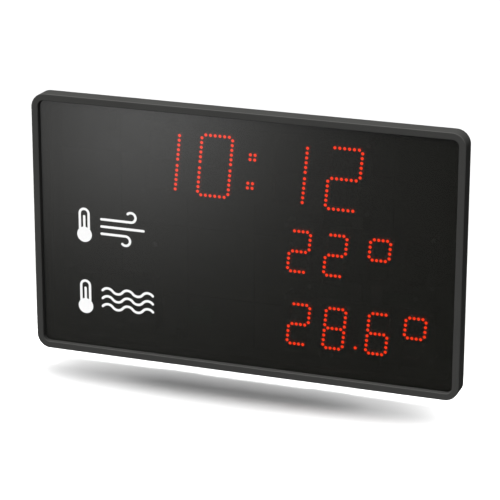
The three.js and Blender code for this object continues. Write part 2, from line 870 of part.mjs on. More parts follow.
function makeSupply() {
  const front = supplyBack - supplyDepth;
  const earFront = supplyBack - supplyEarThickness;
  const [halfX, halfZ] = [supplyWidth / 2, supplyHeight / 2];
  const outline = (inset) =>
    roundedOutline(halfX - inset, halfZ - inset, supplyCornerRadius, supplyX, supplyZ, smallCornerSteps);
  const body = prism(outline(0), front, supplyBack);
  const ears = block(
    [supplyX - halfX - supplyEarLength, earFront, supplyZ - supplyEarWidth / 2],
    [supplyX + halfX + supplyEarLength, supplyBack, supplyZ + supplyEarWidth / 2],
  );
  const [ahead, behind] = [earFront - cutOverrun, supplyBack + cutOverrun];
  const holes = supplyHoles().map(([x, z]) =>
    barAlongDepth(boardScrewRadius + fitGap, ahead, behind, x, z, smallSides),
  );
  const cap = prism(outline(supplyCapEdge), front - cutOverrun, front + supplyCapRecess);
  return cut(body.add(ears), [cap, ...holes]);
}

// Rubber grommet: a flange on each side of the back wall, and a bore for the cable
function makeGrommet() {
  const half = shellWall / 2;
  return turned(
    [
      [grommetBoreRadius, -half - grommetFlangeThickness],
      [grommetFlangeRadius, -half - grommetFlangeThickness],
      [grommetFlangeRadius, -half],
      [grommetGrooveRadius, -half],
      [grommetGrooveRadius, half],
      [grommetFlangeRadius, half],
      [grommetFlangeRadius, half + grommetFlangeThickness],
      [grommetBoreRadius, half + grommetFlangeThickness],
      [grommetBoreRadius, -half - grommetFlangeThickness],
    ],
    roundSides,
  );
}

// Push button: cap, collar that keeps it in the shell, and the stem that works the switch
function makeButton() {
  const collarBottom = buttonProud + shellWall + fitGap;
  const collarTop = collarBottom + buttonCollarHeight;
  const switchBottom = buttonProud + boxHalfHeight + controlBottom - switchOverhang;
  const stemTop = switchBottom + switchWellDepth - buttonTravel - fitGap;
  return turned(
    [
      [0, 0],
      [buttonRadius - buttonProud / 4, 0],
      [buttonRadius, buttonProud / 4],
      [buttonRadius, collarBottom],
      [buttonCollarRadius, collarBottom],
      [buttonCollarRadius, collarTop],
      [buttonStemRadius, collarTop],
      [buttonStemRadius, stemTop],
      [0, stemTop],
    ],
    roundSides,
  );
}

function makeSwitch(x) {
  const bottom = controlBottom - switchOverhang;
  const body = block(
    [x - switchWidth / 2, controlFront - switchDepth, bottom],
    [x + switchWidth / 2, controlFront, bottom + switchHeight],
  );
  const [below, wellTop] = [bottom - cutOverrun, bottom + switchWellDepth];
  return cut(body, [barUpright(buttonStemRadius + fitGap, below, wellTop, x, buttonDepth)]);
}

// Hook of the wall bracket: up the wall, forward, and round under the rod to a lip
function hookProfile() {
  const [y, z] = [-wallGap - rodInset, rodHeight];
  const inner = rodBed;
  const outer = rodBed + bracketSheet;
  const runTop = z - hookRunDrop + bracketSheet / 2;
  const runBottom = runTop - bracketSheet;
  const root = bracketTop - bracketTopMargin / 2;
  const profile = new THREE.Shape();
  profile.moveTo(0, root);
  profile.lineTo(0, runTop - bracketBend);
  profile.absarc(-bracketBend, runTop - bracketBend, bracketBend, 0, Math.PI / 2, false);
  profile.absarc(y, z, inner, Math.asin((runTop - z) / inner), -Math.PI, true);
  profile.lineTo(y - inner, z + hookLipRise);
  profile.lineTo(y - outer, z + hookLipRise);
  profile.absarc(y, z, outer, Math.PI, 2 * Math.PI + Math.asin((runBottom - z) / outer), false);
  profile.lineTo(-bracketSheet, runBottom);
  profile.lineTo(-bracketSheet, root);
  return profile;
}

// Locking tab: down the wall and forward under the case
function lockTabProfile() {
  const top = -boxHalfHeight - lockTabGap;
  const bottom = top - bracketSheet;
  const bendInner = bracketBend - bracketSheet;
  const root = bracketBottom + bracketBottomRise;
  const profile = new THREE.Shape();
  profile.moveTo(0, root);
  profile.lineTo(-bracketSheet, root);
  profile.lineTo(-bracketSheet, top + bendInner);
  profile.absarc(-bracketBend, top + bendInner, bendInner, 0, -Math.PI / 2, true);
  profile.lineTo(-lockTabReach, top);
  profile.lineTo(-lockTabReach, bottom);
  profile.absarc(-bracketBend, bottom + bracketBend, bracketBend, -Math.PI / 2, 0, false);
  return profile;
}

function lockSlot(x) {
  const [low, high] = [-boxHalfHeight - lockTabGap - bracketSheet - cutOverrun, -boxHalfHeight];
  const y = -wallGap - lockInset;
  const mouth = block([x - lockSlotRadius, -lockTabReach - cutOverrun, low], [x + lockSlotRadius, y, high]);
  return barUpright(lockSlotRadius, low, high, x, y).add(mouth);
}

function makeBracket() {
  const middleZ = (bracketTop + bracketBottom) / 2;
  const halfSheetHeight = (bracketTop - bracketBottom) / 2;
  const outline = roundedOutline(bracketHalfWidth, halfSheetHeight, bracketCornerRadius, 0, middleZ);
  const sheet = prism(outline, -bracketSheet, 0);
  const hooks = [-hookShift, hookShift].map((x) =>
    sweepAcross(hookProfile(), x - hookWidth / 2, x + hookWidth / 2),
  );
  const tabs = [-lockShift, lockShift].map((x) =>
    sweepAcross(lockTabProfile(), x - lockTabWidth / 2, x + lockTabWidth / 2),
  );
  const [windowLeft, windowRight] = [bracketWeb / 2, bracketHalfWidth - bracketSideMargin];
  const [windowLow, windowHigh] = [bracketBottom + bracketBottomMargin, bracketTop - bracketTopMargin];
  const windows = [-1, 1].map((sign) => {
    const middleX = (sign * (windowLeft + windowRight)) / 2;
    const [halfX, halfZ] = [(windowRight - windowLeft) / 2, (windowHigh - windowLow) / 2];
    const hole = roundedOutline(halfX, halfZ, bracketCornerRadius, middleX, (windowLow + windowHigh) / 2);
    return prism(hole, -bracketSheet - cutOverrun, cutOverrun);
  });
  const slots = [-wallSlotShift, wallSlotShift].flatMap((x) =>
    [bracketBottom + wallSlotInset, bracketTop - wallSlotInset].map((z) => {
      const half = wallSlotHalfLength + wallSlotRadius;
      const hole = roundedOutline(half, wallSlotRadius, wallSlotRadius, x, z, smallCornerSteps);
      return prism(hole, -bracketSheet - cutOverrun, cutOverrun);
    }),
  );
  const lockSlots = [lockSlot(-lockShift), lockSlot(lockShift)];
  return cut(join([sheet, ...hooks, ...tabs]), [...windows, ...slots, ...lockSlots]);
}

// Locking screw with a chamfered head
function makeLockScrew() {
  const chamfer = lockScrewHeadHeight / 4;
  return turned(
    [
      [0, -lockScrewHeadHeight],
      [lockScrewHeadRadius - chamfer, -lockScrewHeadHeight],
      [lockScrewHeadRadius, chamfer - lockScrewHeadHeight],
      [lockScrewHeadRadius, 0],
      [lockScrewRadius, 0],
      [lockScrewRadius, lockScrewLength],
      [0, lockScrewLength],
    ],
    roundSides,
  );
}

// Finishes, as colour, roughness and metalness
function finish(color, roughness, metalness = 0, opacity = 1) {
  return new THREE.MeshStandardMaterial({ color, roughness, metalness, opacity, transparent: opacity < 1 });
}

const finishes = {
  rim: finish(0x3b3b3a, 0.5),
  shell: finish(0x333332, 0.6),
  smoked: finish(0x20201f, 0.15, 0, 0.6),
  rubber: finish(0x161616, 0.9),
  board: finish(0x1c1f1d, 0.6),
  control: finish(0x1f5a37, 0.5),
  steel: finish(0xb9bcbf, 0.35, 1),
  zinc: finish(0x9a9da0, 0.45, 0.9),
  supply: finish(0x2b2c2e, 0.5),
  terminal: finish(0x2f7d4b, 0.5),
  ribbon: finish(0x9a9c9e, 0.6),
  button: finish(0x5a5c5e, 0.5),
};

// Assembly
const poolDisplay = new THREE.Group();
const displayCase = new THREE.Group();
displayCase.position.y = -wallGap - caseDepth;
poolDisplay.add(displayCase);

function place(group, name, geometry, finishName, position = [0, 0, 0], rotation = [0, 0, 0]) {
  const mesh = new THREE.Mesh(geometry, finishes[finishName]);
  mesh.name = name;
  mesh.position.set(...position);
  mesh.rotation.set(...rotation);
  group.add(mesh);
}

function placeSolid(group, name, solid, finishName) {
  place(group, name, toGeometry(solid), finishName);
}

placeSolid(poolDisplay, "wall_bracket", makeBracket(), "zinc");
placeSolid(displayCase, "front_bezel", makeBezel(), "rim");
placeSolid(displayCase, "front_window", makeWindow(), "smoked");
placeSolid(displayCase, "window_tape", makeWindowTape(), "rubber");
placeSolid(displayCase, "rear_shell", makeShell(), "shell");
placeSolid(displayCase, "shell_seal", makeShellSeal(), "rubber");
placeSolid(displayCase, "display_board_clock", makeDisplayBoard(clockLine, colonLamps()), "board");
const point = [pointShift, -pointDrop];
placeSolid(displayCase, "display_board_air", makeDisplayBoard(airLine, [point]), "board");
placeSolid(displayCase, "display_board_pool", makeDisplayBoard(poolLine, [point]), "board");
placeSolid(displayCase, "control_board", makeControlBoard(), "control");
placeSolid(displayCase, "power_supply", makeSupply(), "supply");
placeSolid(displayCase, "mains_terminal", makeMainsTerminal(), "terminal");
placeSolid(displayCase, "signal_terminal", makeSignalTerminal(), "terminal");

const ribbonNames = ["ribbon_clock", "ribbon_air", "ribbon_pool"];
ribbonLandings.forEach(([line, z], i) => {
  placeSolid(displayCase, ribbonNames[i], makeRibbon(line, z), "ribbon");
});

placeSolid(displayCase, "hanger_rod_left", rodBar(-1, rodRadius, fitGap, 0), "steel");
placeSolid(displayCase, "hanger_rod_right", rodBar(1, rodRadius, fitGap, 0), "steel");

const grommet = toGeometry(makeGrommet());
const grommetNames = ["mains_grommet", "signal_grommet"];
grommetPlaces.forEach(([x, z], i) => {
  place(displayCase, grommetNames[i], grommet, "rubber", [x, caseDepth - shellWall / 2, z]);
});

const button = toGeometry(makeButton());
buttonPlaces.forEach((x, i) => {
  placeSolid(displayCase, `setting_switch_${i + 1}`, makeSwitch(x), "supply");
  const position = [x, buttonDepth, -boxHalfHeight - buttonProud];
  place(displayCase, `setting_button_${i + 1}`, button, "button", position, [Math.PI / 2, 0, 0]);
});

const lockScrew = toGeometry(makeLockScrew());
const lockScrewNames = ["locking_screw_left", "locking_screw_right"];
[-lockShift, lockShift].forEach((x, i) => {
  const position = [x, caseDepth - lockInset, -boxHalfHeight - lockTabGap - bracketSheet - fitGap];
  place(displayCase, lockScrewNames[i], lockScrew, "steel", position, [Math.PI / 2, 0, 0]);
});

const caseScrewLength = rimDepth - ledgeFront - caseBossFloor - caseScrewSpare;
const caseScrew = toGeometry(
  screw(caseScrewRadius, caseScrewLength, caseScrewHeadRadius, caseScrewHeadHeight, smallSides),
);
caseScrewPlaces().forEach(([x, z], i) => {
  place(displayCase, `case_screw_${i + 1}`, caseScrew, "steel", [x, rimDepth, z], [0, 0, Math.PI]);
});

// Board screws: the head lies on the board and the shank goes into its post
function placeBoardScrews(name, holes, headDepth, postTop) {
  const length = postTop - headDepth + Math.min(boardScrewLength, innerBack - postTop) - postHoleSpare;
  const boardScrew = toGeometry(
    screw(boardScrewRadius, length, boardScrewHeadRadius, boardScrewHeadHeight, smallSides),
  );
  holes.forEach(([x, z], i) => {
    place(displayCase, `${name}_screw_${i + 1}`, boardScrew, "steel", [x, headDepth, z]);
  });
}

placeBoardScrews("clock_board", lineHoles(clockLine), boardFront, boardBack);
placeBoardScrews("air_board", lineHoles(airLine), boardFront, boardBack);
placeBoardScrews("pool_board", lineHoles(poolLine), boardFront, boardBack);
placeBoardScrews("control_board", controlHoles(), controlFront, controlBack);
placeBoardScrews("power_supply", supplyHoles(), supplyBack - supplyEarThickness, supplyBack);

export default poolDisplay;
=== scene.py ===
"""Looks of a wall display with a clock line and two temperature lines behind a smoked window."""

import json
import math

import bmesh
import bpy
from mathutils import Matrix, Vector


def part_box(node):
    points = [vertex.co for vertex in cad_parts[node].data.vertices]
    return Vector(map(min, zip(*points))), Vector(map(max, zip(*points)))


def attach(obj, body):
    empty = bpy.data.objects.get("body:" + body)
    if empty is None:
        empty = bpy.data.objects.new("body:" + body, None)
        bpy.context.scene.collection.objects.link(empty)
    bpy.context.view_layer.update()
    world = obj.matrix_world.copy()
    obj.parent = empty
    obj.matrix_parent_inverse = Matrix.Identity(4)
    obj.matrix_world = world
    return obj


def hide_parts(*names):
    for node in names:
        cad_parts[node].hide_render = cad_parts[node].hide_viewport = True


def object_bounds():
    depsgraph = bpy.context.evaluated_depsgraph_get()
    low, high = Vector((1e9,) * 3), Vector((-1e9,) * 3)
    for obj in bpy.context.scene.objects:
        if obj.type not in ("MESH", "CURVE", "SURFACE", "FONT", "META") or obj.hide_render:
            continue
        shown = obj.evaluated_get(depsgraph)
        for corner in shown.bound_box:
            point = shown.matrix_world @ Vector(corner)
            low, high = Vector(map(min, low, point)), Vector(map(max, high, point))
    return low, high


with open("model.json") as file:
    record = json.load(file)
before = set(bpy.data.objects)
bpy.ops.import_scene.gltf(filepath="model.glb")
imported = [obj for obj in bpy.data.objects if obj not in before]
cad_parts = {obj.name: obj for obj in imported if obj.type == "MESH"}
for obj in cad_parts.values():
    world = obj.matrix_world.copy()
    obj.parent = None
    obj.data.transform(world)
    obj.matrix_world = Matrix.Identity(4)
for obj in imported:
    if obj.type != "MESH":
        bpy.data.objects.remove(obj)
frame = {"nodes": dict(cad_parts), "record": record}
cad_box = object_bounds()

bl_info = {
    "name": "Wall Display Looks",
    "version": (1, 0, 0),
    "blender": (4, 5, 0),
    "location": "3D View > Sidebar > Wall Display",
    "description": "Builds the visible pieces, finishes, lamps and stage of a wall display",
    "category": "Object",
}

MM = 0.001
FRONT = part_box("front_bezel")[0].y
CASE = "display_case"

# Distance under which two points are one
SAME = 0.001 * MM

# Angle up to which faces are shaded as one smooth surface
SMOOTH_ANGLE = math.radians(34)

# Finished materials by the name of their slot, filled by main
finishes = {}

# Bars of a digit that light for each sign that the display can show
BARS = {"0": "abcdef", "1": "bc", "2": "abged", "6": "acdefg", "8": "abcdefg", "deg": "abgf", "off": ""}


def length(name, value_mm, description):
    """A length property whose default is written in millimetres."""
    return bpy.props.FloatProperty(
        name=name,
        description=description,
        default=value_mm * MM,
        min=0,
        precision=5,
        subtype="DISTANCE",
        unit="LENGTH",
    )


def colour(name, value, description):
    """A linear colour property."""
    return bpy.props.FloatVectorProperty(
        name=name, description=description, default=value, min=0, max=1, size=3, subtype="COLOR"
    )


def number(name, value, description):
    """A plain number, such as a brightness or a share."""
    return bpy.props.FloatProperty(name=name, description=description, default=value, min=0, precision=4)


class CaseSizes(bpy.types.PropertyGroup):
    """Sizes of the rim, window and signs."""

    corner_radius: length("Corner Radius", 15, "Sweep of the rim's corners, and of the window's")
    outer_radius: length("Outer Radius", 16, "Outer corners of the rim, seen from the front")
    land: length("Rim Land", 8, "Width of the flat front of the rim")
    edge_rounding: length("Edge Rounding", 0.9, "Rounding of the rim's outer front edge")
    inner_rounding: length("Inner Rounding", 0.7, "Rounding of the edge next to the window")
    taper: length("Taper", 0.1, "Draft of the rim's sides towards the back")
    slant: length("Inner Slant", 0.45, "Draft of the wall round the window")
    wall: length("Wall", 2.5, "Thickness of the rim's moulding")
    ledge: length("Ledge", 6, "Width of the ledge that carries the window")
    rib: length("Rib", 2, "Thickness of the rib behind the ledge, and of the wall round the window")
    pane_edge: length("Pane Edge", 0.3, "Rounding of the window's front edge")
    tape_gap: length("Tape Gap", 0.05, "Gap between the window and its tape")
    sign_stroke: length("Sign Stroke", 2.9, "Width of the lines of the printed signs")
    ink_thickness: length("Ink Thickness", 0.06, "Height of the printed ink above the window")


class LampSizes(bpy.types.PropertyGroup):
    """Sizes of the lamps and of the digits that they form."""

    radius: length("Lamp Radius", 2.4, "Radius of one lamp")
    height: length("Lamp Height", 8, "Height of one lamp above its board")
    sunk: length("Lamp Foot", 0.1, "Depth to which a lamp's foot goes into its board")
    slant: bpy.props.FloatProperty(
        name="Slant", description="Lean of the digits", default=math.radians(5.2), subtype="ANGLE"
    )
    board_radius: length("Board Corner", 2, "Corner radius of the circuit boards")
    board_thickness: length("Board Thickness", 1.6, "Thickness of the circuit boards")


class FinishColours(bpy.types.PropertyGroup):
    """Linear colours of the finishes."""

    rim: colour("Rim", (0.0405, 0.0405, 0.039), "Satin plastic of the rim")
    shell: colour("Shell", (0.034, 0.034, 0.033), "Matt plastic of the rear shell")
    window: colour("Window", (0.0056, 0.0056, 0.0043), "Smoked plastic of the window")
    ink: colour("Ink", (0.86, 0.86, 0.86), "White ink of the signs")
    lamp: colour("Lit Lamp", (1, 0.03, 0), "Light of a lit lamp, seen through the window")
    dark_lamp: colour("Dark Lamp", (0.03, 0.004, 0.003), "Lens of a lamp that is off")
    board: colour("Lamp Board", (0.006, 0.006, 0.006), "Black solder mask of the lamp boards")
    control: colour("Control Board", (0.012, 0.1, 0.04), "Green solder mask of the control board")
    rubber: colour("Rubber", (0.012, 0.012, 0.012), "Rubber of the grommets and seals")
    steel: colour("Steel", (0.5, 0.51, 0.52), "Bright steel of the screws and rods")
    zinc: colour("Zinc", (0.42, 0.44, 0.46), "Zinc plating of the wall bracket")
    supply: colour("Supply", (0.018, 0.018, 0.02), "Moulded case of the power supply")
    terminal: colour("Terminal", (0.03, 0.2, 0.08), "Moulded terminals")
    ribbon: colour("Ribbon", (0.33, 0.34, 0.35), "Flat cable")
    button: colour("Button", (0.11, 0.115, 0.12), "Caps of the setting buttons")


class StageSettings(bpy.types.PropertyGroup):
    """Floor and lights."""

    floor_drop: length("Floor Drop", 25.1, "Height of the display above the floor")
    window_opacity: number("Window Opacity", 0.95, "Share of the lamps' light that the window keeps back")
    top_light: number("Top Light", 1.2, "Brightness of a white level surface under the top light")
    floor_light: number("Floor Light", 1.185, "Brightness of a white floor under its narrow light")
    floor_fill: number("Floor Fill Light", 0.512, "Brightness of a white floor under its wide light")
    front_light: number("Front Light", 1.28, "Brightness of a white surface that faces the front light")
    left_power: number("Left End Power", 1.2, "Power of the low light past the left end of the display")
    right_power: number("Right End Power", 1.65, "Power of the low light past the right end of the display")
    side_light: number("Side Light", 0.1, "Brightness of a white surface that faces the side light")
    sheen_power: number("Sheen Power", 17.5, "Power of the soft light that the window mirrors")
    sky: number("Sky", 0.18, "Brightness of the even light all round")
    floor_shade: number("Floor Shade", 0.8, "Share of the light that the floor sends to the camera")
    far_floor_shade: number("Far Floor Shade", 0.6, "The same behind the display, where no shadow falls")


class Value:
    """A shader socket of a finish, for use in sums and products."""

    def __init__(self, finish, socket):
        self.finish, self.socket = finish, socket

    def _math(self, operation, first, second):
        return self.finish.node("ShaderNodeMath", {"operation": operation}, {0: first, 1: second})

    def __add__(self, other):
        return self._math("ADD", self, other)

    def __radd__(self, other):
        return self._math("ADD", other, self)

    def __rsub__(self, other):
        return self._math("SUBTRACT", other, self)

    def __mul__(self, other):
        return self._math("MULTIPLY", self, other)

    def __rmul__(self, other):
        return self._math("MULTIPLY", other, self)


class Shading:
    """A node tree under construction."""

    def __init__(self, tree):
        self.tree = tree

    def node(self, kind, settings=None, inputs=None, output=0):
        """Adds a node with its settings and the values or links of its sockets, and gives one output."""
        made = self.tree.nodes.new(kind)
        for key, value in (settings or {}).items():
            setattr(made, key, value)
        for key, value in (inputs or {}).items():
            self.feed(made.inputs[key], value)
        return Value(self, made.outputs[output])

    def feed(self, socket, value):
        """Links a value to a socket, or sets a number or colour on it."""
        if isinstance(value, Value):
            self.tree.links.new(value.socket, socket)
        elif hasattr(socket.default_value, "__len__") and len(socket.default_value) == 4 and len(value) == 3:
            socket.default_value = (*value, 1)
        else:
            socket.default_value = value

    def blend(self, factor, first, second):
        """Mixes two colours by a factor from 0 to 1."""
        made = self.tree.nodes.new("ShaderNodeMix")
        made.data_type = "RGBA"
        for index, value in ((0, factor), (6, first), (7, second)):
            self.feed(made.inputs[index], value)
        return Value(self, made.outputs[2])

    def in_view(self):
        """1 for what is seen, also in gloss or glass, and 0 for light and behind the smoked window."""
        kinds = ("Is Camera Ray", "Is Glossy Ray", "Is Transmission Ray", "Transparent Depth")
        seen, glossy, glassy, depth = [self.node("ShaderNodeLightPath", output=kind) for kind in kinds]
        clamped = {"operation": "SUBTRACT", "use_clamp": True}
        return self.node("ShaderNodeMath", clamped, {0: seen + glossy + glassy, 1: depth})


class Finish(Shading):
    """A material under construction: its node tree and its Principled shader."""

    def __init__(self, name, **sockets):
        self.material = bpy.data.materials.new(name)
        self.material.use_nodes = True
        super().__init__(self.material.node_tree)
        self.shader = self.tree.nodes["Principled BSDF"]
        self.set(**sockets)

    def set(self, **sockets):
        """Sets sockets of the Principled shader, named with underscores for spaces."""
        for key, value in sockets.items():
            self.feed(self.shader.inputs[key.replace("_", " ")], value)

    def place(self):
        """Object coordinates, which are metres in the frame of the display."""
        return self.node("ShaderNodeTexCoord", output="Object")

    def depth(self):
        """How far back a point lies, in metres on Y."""
        return self.node("ShaderNodeSeparateXYZ", None, {"Vector": self.place()}, "Y")

    def noise(self, scale, detail=3, roughness=0.5):
        return self.node(
            "ShaderNodeTexNoise",
            {"noise_dimensions": "3D"},
            {"Vector": self.place(), "Scale": scale, "Detail": detail, "Roughness": roughness},
        )

    def rise(self, value, start, end):
        """0 below a start, 1 above an end, and smooth between them."""
        settings = {"interpolation_type": "SMOOTHSTEP"}
        inputs = {"Value": value, "From Min": start, "From Max": end}
        return self.node("ShaderNodeMapRange", settings, inputs)

    def bump(self, height, distance, strength=1.0):
        """Lets a height between 0 and 1 raise the surface by up to a distance."""
        inputs = {"Height": height, "Distance": distance, "Strength": strength}
        self.set(Normal=self.node("ShaderNodeBump", None, inputs))


def shaded(shade, factor):
    """A colour made darker or lighter by a factor."""
    return tuple(min(channel * factor, 1) for channel in shade)


def satin_rim(shade):
    """Satin plastic of the rim: a fine grain, and a painted highlight that lightens the roundings of its
    front edges, broken up by noise.
    """
    finish = Finish("rim_satin_plastic", Specular_IOR_Level=0)
    cloud = finish.noise(18, 2)
    # Painted highlight: a band at the depth of the outer and inner front edge roundings is painted half
    # again lighter, broken up by noise
    starts, full, fades, ends = [FRONT + depth * MM for depth in (0.05, 0.35, 0.8, 1.2)]
    depth = finish.depth()
    edge = finish.rise(depth, starts, full) * (1 - finish.rise(depth, fades, ends))
    painted_edge_highlight = edge * (0.5 + 0.8 * finish.noise(350, 2))
    plain = finish.blend(cloud, shaded(shade, 0.9), shaded(shade, 1.1))
    finish.set(Base_Color=finish.blend(painted_edge_highlight, plain, shaded(shade, 1.5)), Roughness=0.45 + 0.1 * cloud)
    finish.bump(finish.noise(2600, 4, 0.6), 0.04 * MM)
    return finish.material


def grained_plastic(name, shade, roughness, grain, height):
    """Moulded plastic: a grain of a fineness and a height, and a colour and gloss that wander a little."""
    finish = Finish(name, Specular_IOR_Level=0.35)
    cloud = finish.noise(18, 2)
    finish.set(Base_Color=finish.blend(cloud, shaded(shade, 0.9), shaded(shade, 1.1)))
    finish.set(Roughness=roughness - 0.05 + 0.1 * cloud)
    finish.bump(finish.noise(grain, 4, 0.6), height)
    return finish.material


def make_finishes(colours, stage):
    """Makes every finish of the display, by the name of its material slot."""
    plastics = {
        "shell_plastic": ("shell_matt_plastic", colours.shell, 0.62, 1800, 0.06 * MM),
        "black_plastic": ("black_moulded_plastic", colours.supply, 0.5, 1500, 0.05 * MM),
        "terminal_plastic": ("green_terminal_plastic", colours.terminal, 0.42, 1500, 0.02 * MM),
        "button_plastic": ("grey_button_plastic", colours.button, 0.4, 2200, 0.02 * MM),
        "black_rubber": ("black_soft_rubber", colours.rubber, 0.85, 900, 0.08 * MM),
    }
    made = {slot: grained_plastic(*values) for slot, values in plastics.items()}
    return {
        **made,
        "rim_plastic": satin_rim(colours.rim),
        "smoked_window": smoked_plastic(colours.window, stage.window_opacity),
        "lamp_board": solder_mask("black_solder_mask", colours.board),
        "green_board": solder_mask("green_solder_mask", colours.control),
        "ribbon_grey": flat_cable(colours.ribbon),
        "bright_steel": turned_steel(colours.steel),
        "zinc_sheet": zinc_plate(colours.zinc),
        "lit_lamp": glowing_lens(colours.lamp, stage.window_opacity),
        "dark_lamp": clear_lens(colours.dark_lamp),
        "white_ink": printed_ink(colours.ink),
    }


def smoked_plastic(shade, opacity):
    """Smoked window with a satin front: dark, half see-through, and only faintly mirroring."""
    each_face = 1 - math.sqrt(1 - opacity)
    finish = Finish("smoked_window_plastic", Specular_IOR_Level=0.04, Alpha=each_face)
    dust = finish.noise(60, 3)
    finish.set(Base_Color=finish.blend(dust, shaded(shade, 0.8), shaded(shade, 1.2)))
    finish.set(Roughness=0.345 + 0.03 * dust)
    finish.material.surface_render_method = "BLENDED"
    return finish.material


def solder_mask(name, shade):
    """Circuit board: a satin mask over fine copper tracks that stand a little proud."""
    finish = Finish(name, Specular_IOR_Level=0.3)
    tracks = finish.node(
        "ShaderNodeTexBrick",
        {"offset": 0.37, "squash": 1.0},
        {
            "Vector": finish.place(),
            "Color1": (1, 1, 1),
            "Color2": (0.8, 0.8, 0.8),
            "Mortar": (0, 0, 0),
            "Scale": 90,
            "Mortar Size": 0.03,
            "Brick Width": 0.6,
            "Row Height": 0.3,
        },
    )
    finish.set(Base_Color=finish.blend(tracks, shaded(shade, 1.5), shade))
    finish.set(Roughness=0.42 + 0.06 * finish.noise(300, 2))
    finish.bump(tracks, 0.03 * MM, 0.6)
    return finish.material


def flat_cable(shade):
    """Ribbon cable: its wires lie side by side across X, with painted shade in the grooves between them."""
    finish = Finish("ribbed_flat_cable", Roughness=0.5)
    wires = finish.node(
        "ShaderNodeTexWave",
        {"wave_type": "BANDS", "bands_direction": "X"},
        {"Vector": finish.place(), "Scale": 250, "Distortion": 0},
    )
    # Painted shade: the grooves between the wires, where the bump lies low, are painted darker
    finish.set(Base_Color=finish.blend(wires, shaded(shade, 0.7), shade))
    finish.bump(wires, 0.3 * MM)
    return finish.material


def turned_steel(shade):
    """Bright steel with fine tool marks."""
    finish = Finish("turned_bright_steel", Metallic=1)
    marks = finish.noise(1400, 2, 0.7)
    finish.set(Base_Color=finish.blend(marks, shaded(shade, 0.85), shade), Roughness=0.24 + 0.14 * marks)
    finish.bump(marks, 0.01 * MM)
    return finish.material


def zinc_plate(shade):
    """Zinc plated sheet with a faint spangle and a rolled grain."""
    finish = Finish("zinc_plated_sheet", Metallic=0.9)
    spangle = finish.node(
        "ShaderNodeTexVoronoi",
        {"feature": "F1"},
        {"Vector": finish.place(), "Scale": 120, "Randomness": 1},
        "Distance",
    )
    cloud = finish.noise(30, 3)
    finish.set(Base_Color=finish.blend(0.5 * spangle + 0.5 * cloud, shaded(shade, 0.8), shaded(shade, 1.1)))
    finish.set(Roughness=0.36 + 0.16 * cloud)
    finish.bump(finish.noise(900, 2), 0.01 * MM)
    return finish.material


def glowing_lens(shade, opacity):
    """Lit lamp: its domed tip shines at full colour through the window, and its body glows faintly."""
    finish = Finish("lit_red_lamp", Roughness=0.2, Emission_Strength=1 / (1 - opacity))
    finish.set(Base_Color=shaded(shade, 0.1))
    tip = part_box("display_board_clock")[0].y
    body = finish.rise(finish.depth(), tip + 0.8 * MM, tip + 1.05 * MM)
    finish.set(Emission_Color=finish.blend(body, shade, shaded(shade, 0.015)))
    return finish.material


def clear_lens(shade):
    """Lamp that is off: a dark red lens."""
    finish = Finish("dark_red_lamp", Roughness=0.25, Specular_IOR_Level=0.3)
    finish.set(Base_Color=finish.blend(finish.noise(120, 1), shaded(shade, 0.7), shade))
    return finish.material


def printed_ink(shade):
    """White ink with the slight mottle of a screen print."""
    finish = Finish("white_printed_ink", Specular_IOR_Level=0.3)
    mottle = finish.noise(700, 2)
    finish.set(Base_Color=finish.blend(mottle, shaded(shade, 0.94), shade), Roughness=0.5 + 0.1 * mottle)
    finish.bump(mottle, 0.01 * MM)
    return finish.material


def new_piece(name, bm, slot, body=CASE, finish=None, replaces=()):
    """Makes a piece of a bmesh, with its finish, the body it rides on and the nodes it stands for."""
    mesh = bpy.data.meshes.new(name)
    bm.to_mesh(mesh)
    bm.free()
    mesh.materials.append(finishes[finish or slot])
    mesh.shade_smooth()
    mesh.set_sharp_from_angle(angle=SMOOTH_ANGLE)
    for face in mesh.polygons:
        is_level = max(abs(part) for part in face.normal) >= 0.9999
        face.use_smooth = not is_level
    piece = bpy.data.objects.new(name, mesh)
    bpy.context.collection.objects.link(piece)
    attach(piece, body)
    if replaces:
        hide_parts(*replaces)
    return piece


def verts_of(geometry):
    return [item for item in geometry if isinstance(item, bmesh.types.BMVert)]


def edges_of(geometry):
    return [item for item in geometry if isinstance(item, bmesh.types.BMEdge)]


def add_bmesh(target, source, place=(0, 0, 0)):
    """Copies a mesh into a bmesh and moves the copy to its place."""
    count = len(target.verts)
    target.from_mesh(source)
    target.verts.ensure_lookup_table()
    bmesh.ops.translate(target, vec=place, verts=target.verts[count:])


def close_and_face_out(bm):
    """Joins the seams of a shape and points its faces outwards."""
    bmesh.ops.remove_doubles(bm, verts=bm.verts, dist=SAME)
    bmesh.ops.recalc_face_normals(bm, faces=bm.faces)
    if bm.calc_volume(signed=True) < 0:
        bmesh.ops.reverse_faces(bm, faces=bm.faces)


def rounded_slab(middle, half_x, half_z, radius, front, back, edge=0.0, segments=8):
    """A slab with round corners that faces forward, between two heights on Y."""
    bm = bmesh.new()
    bmesh.ops.create_grid(bm, x_segments=1, y_segments=1, size=1)
    upright = Matrix.Rotation(math.pi / 2, 4, "X") @ Matrix.Diagonal((half_x, half_z, 1, 1))
    place = Matrix.Translation((middle[0], front, middle[1]))
    bmesh.ops.transform(bm, matrix=place @ upright, verts=bm.verts)
    bmesh.ops.bevel(
        bm, geom=bm.verts[:], affect="VERTICES", offset=radius, segments=segments, profile=0.5, material=-1
    )
    made = bmesh.ops.extrude_face_region(bm, geom=bm.faces[:])
    bmesh.ops.translate(bm, vec=(0, back - front, 0), verts=verts_of(made["geom"]))
    close_and_face_out(bm)
    if edge:
        flat = [e for e in bm.edges if all(abs(v.co.y - front) < SAME for v in e.verts)]
        bmesh.ops.bevel(bm, geom=flat, affect="EDGES", offset=edge, segments=2, profile=0.5, material=-1)
    return bm


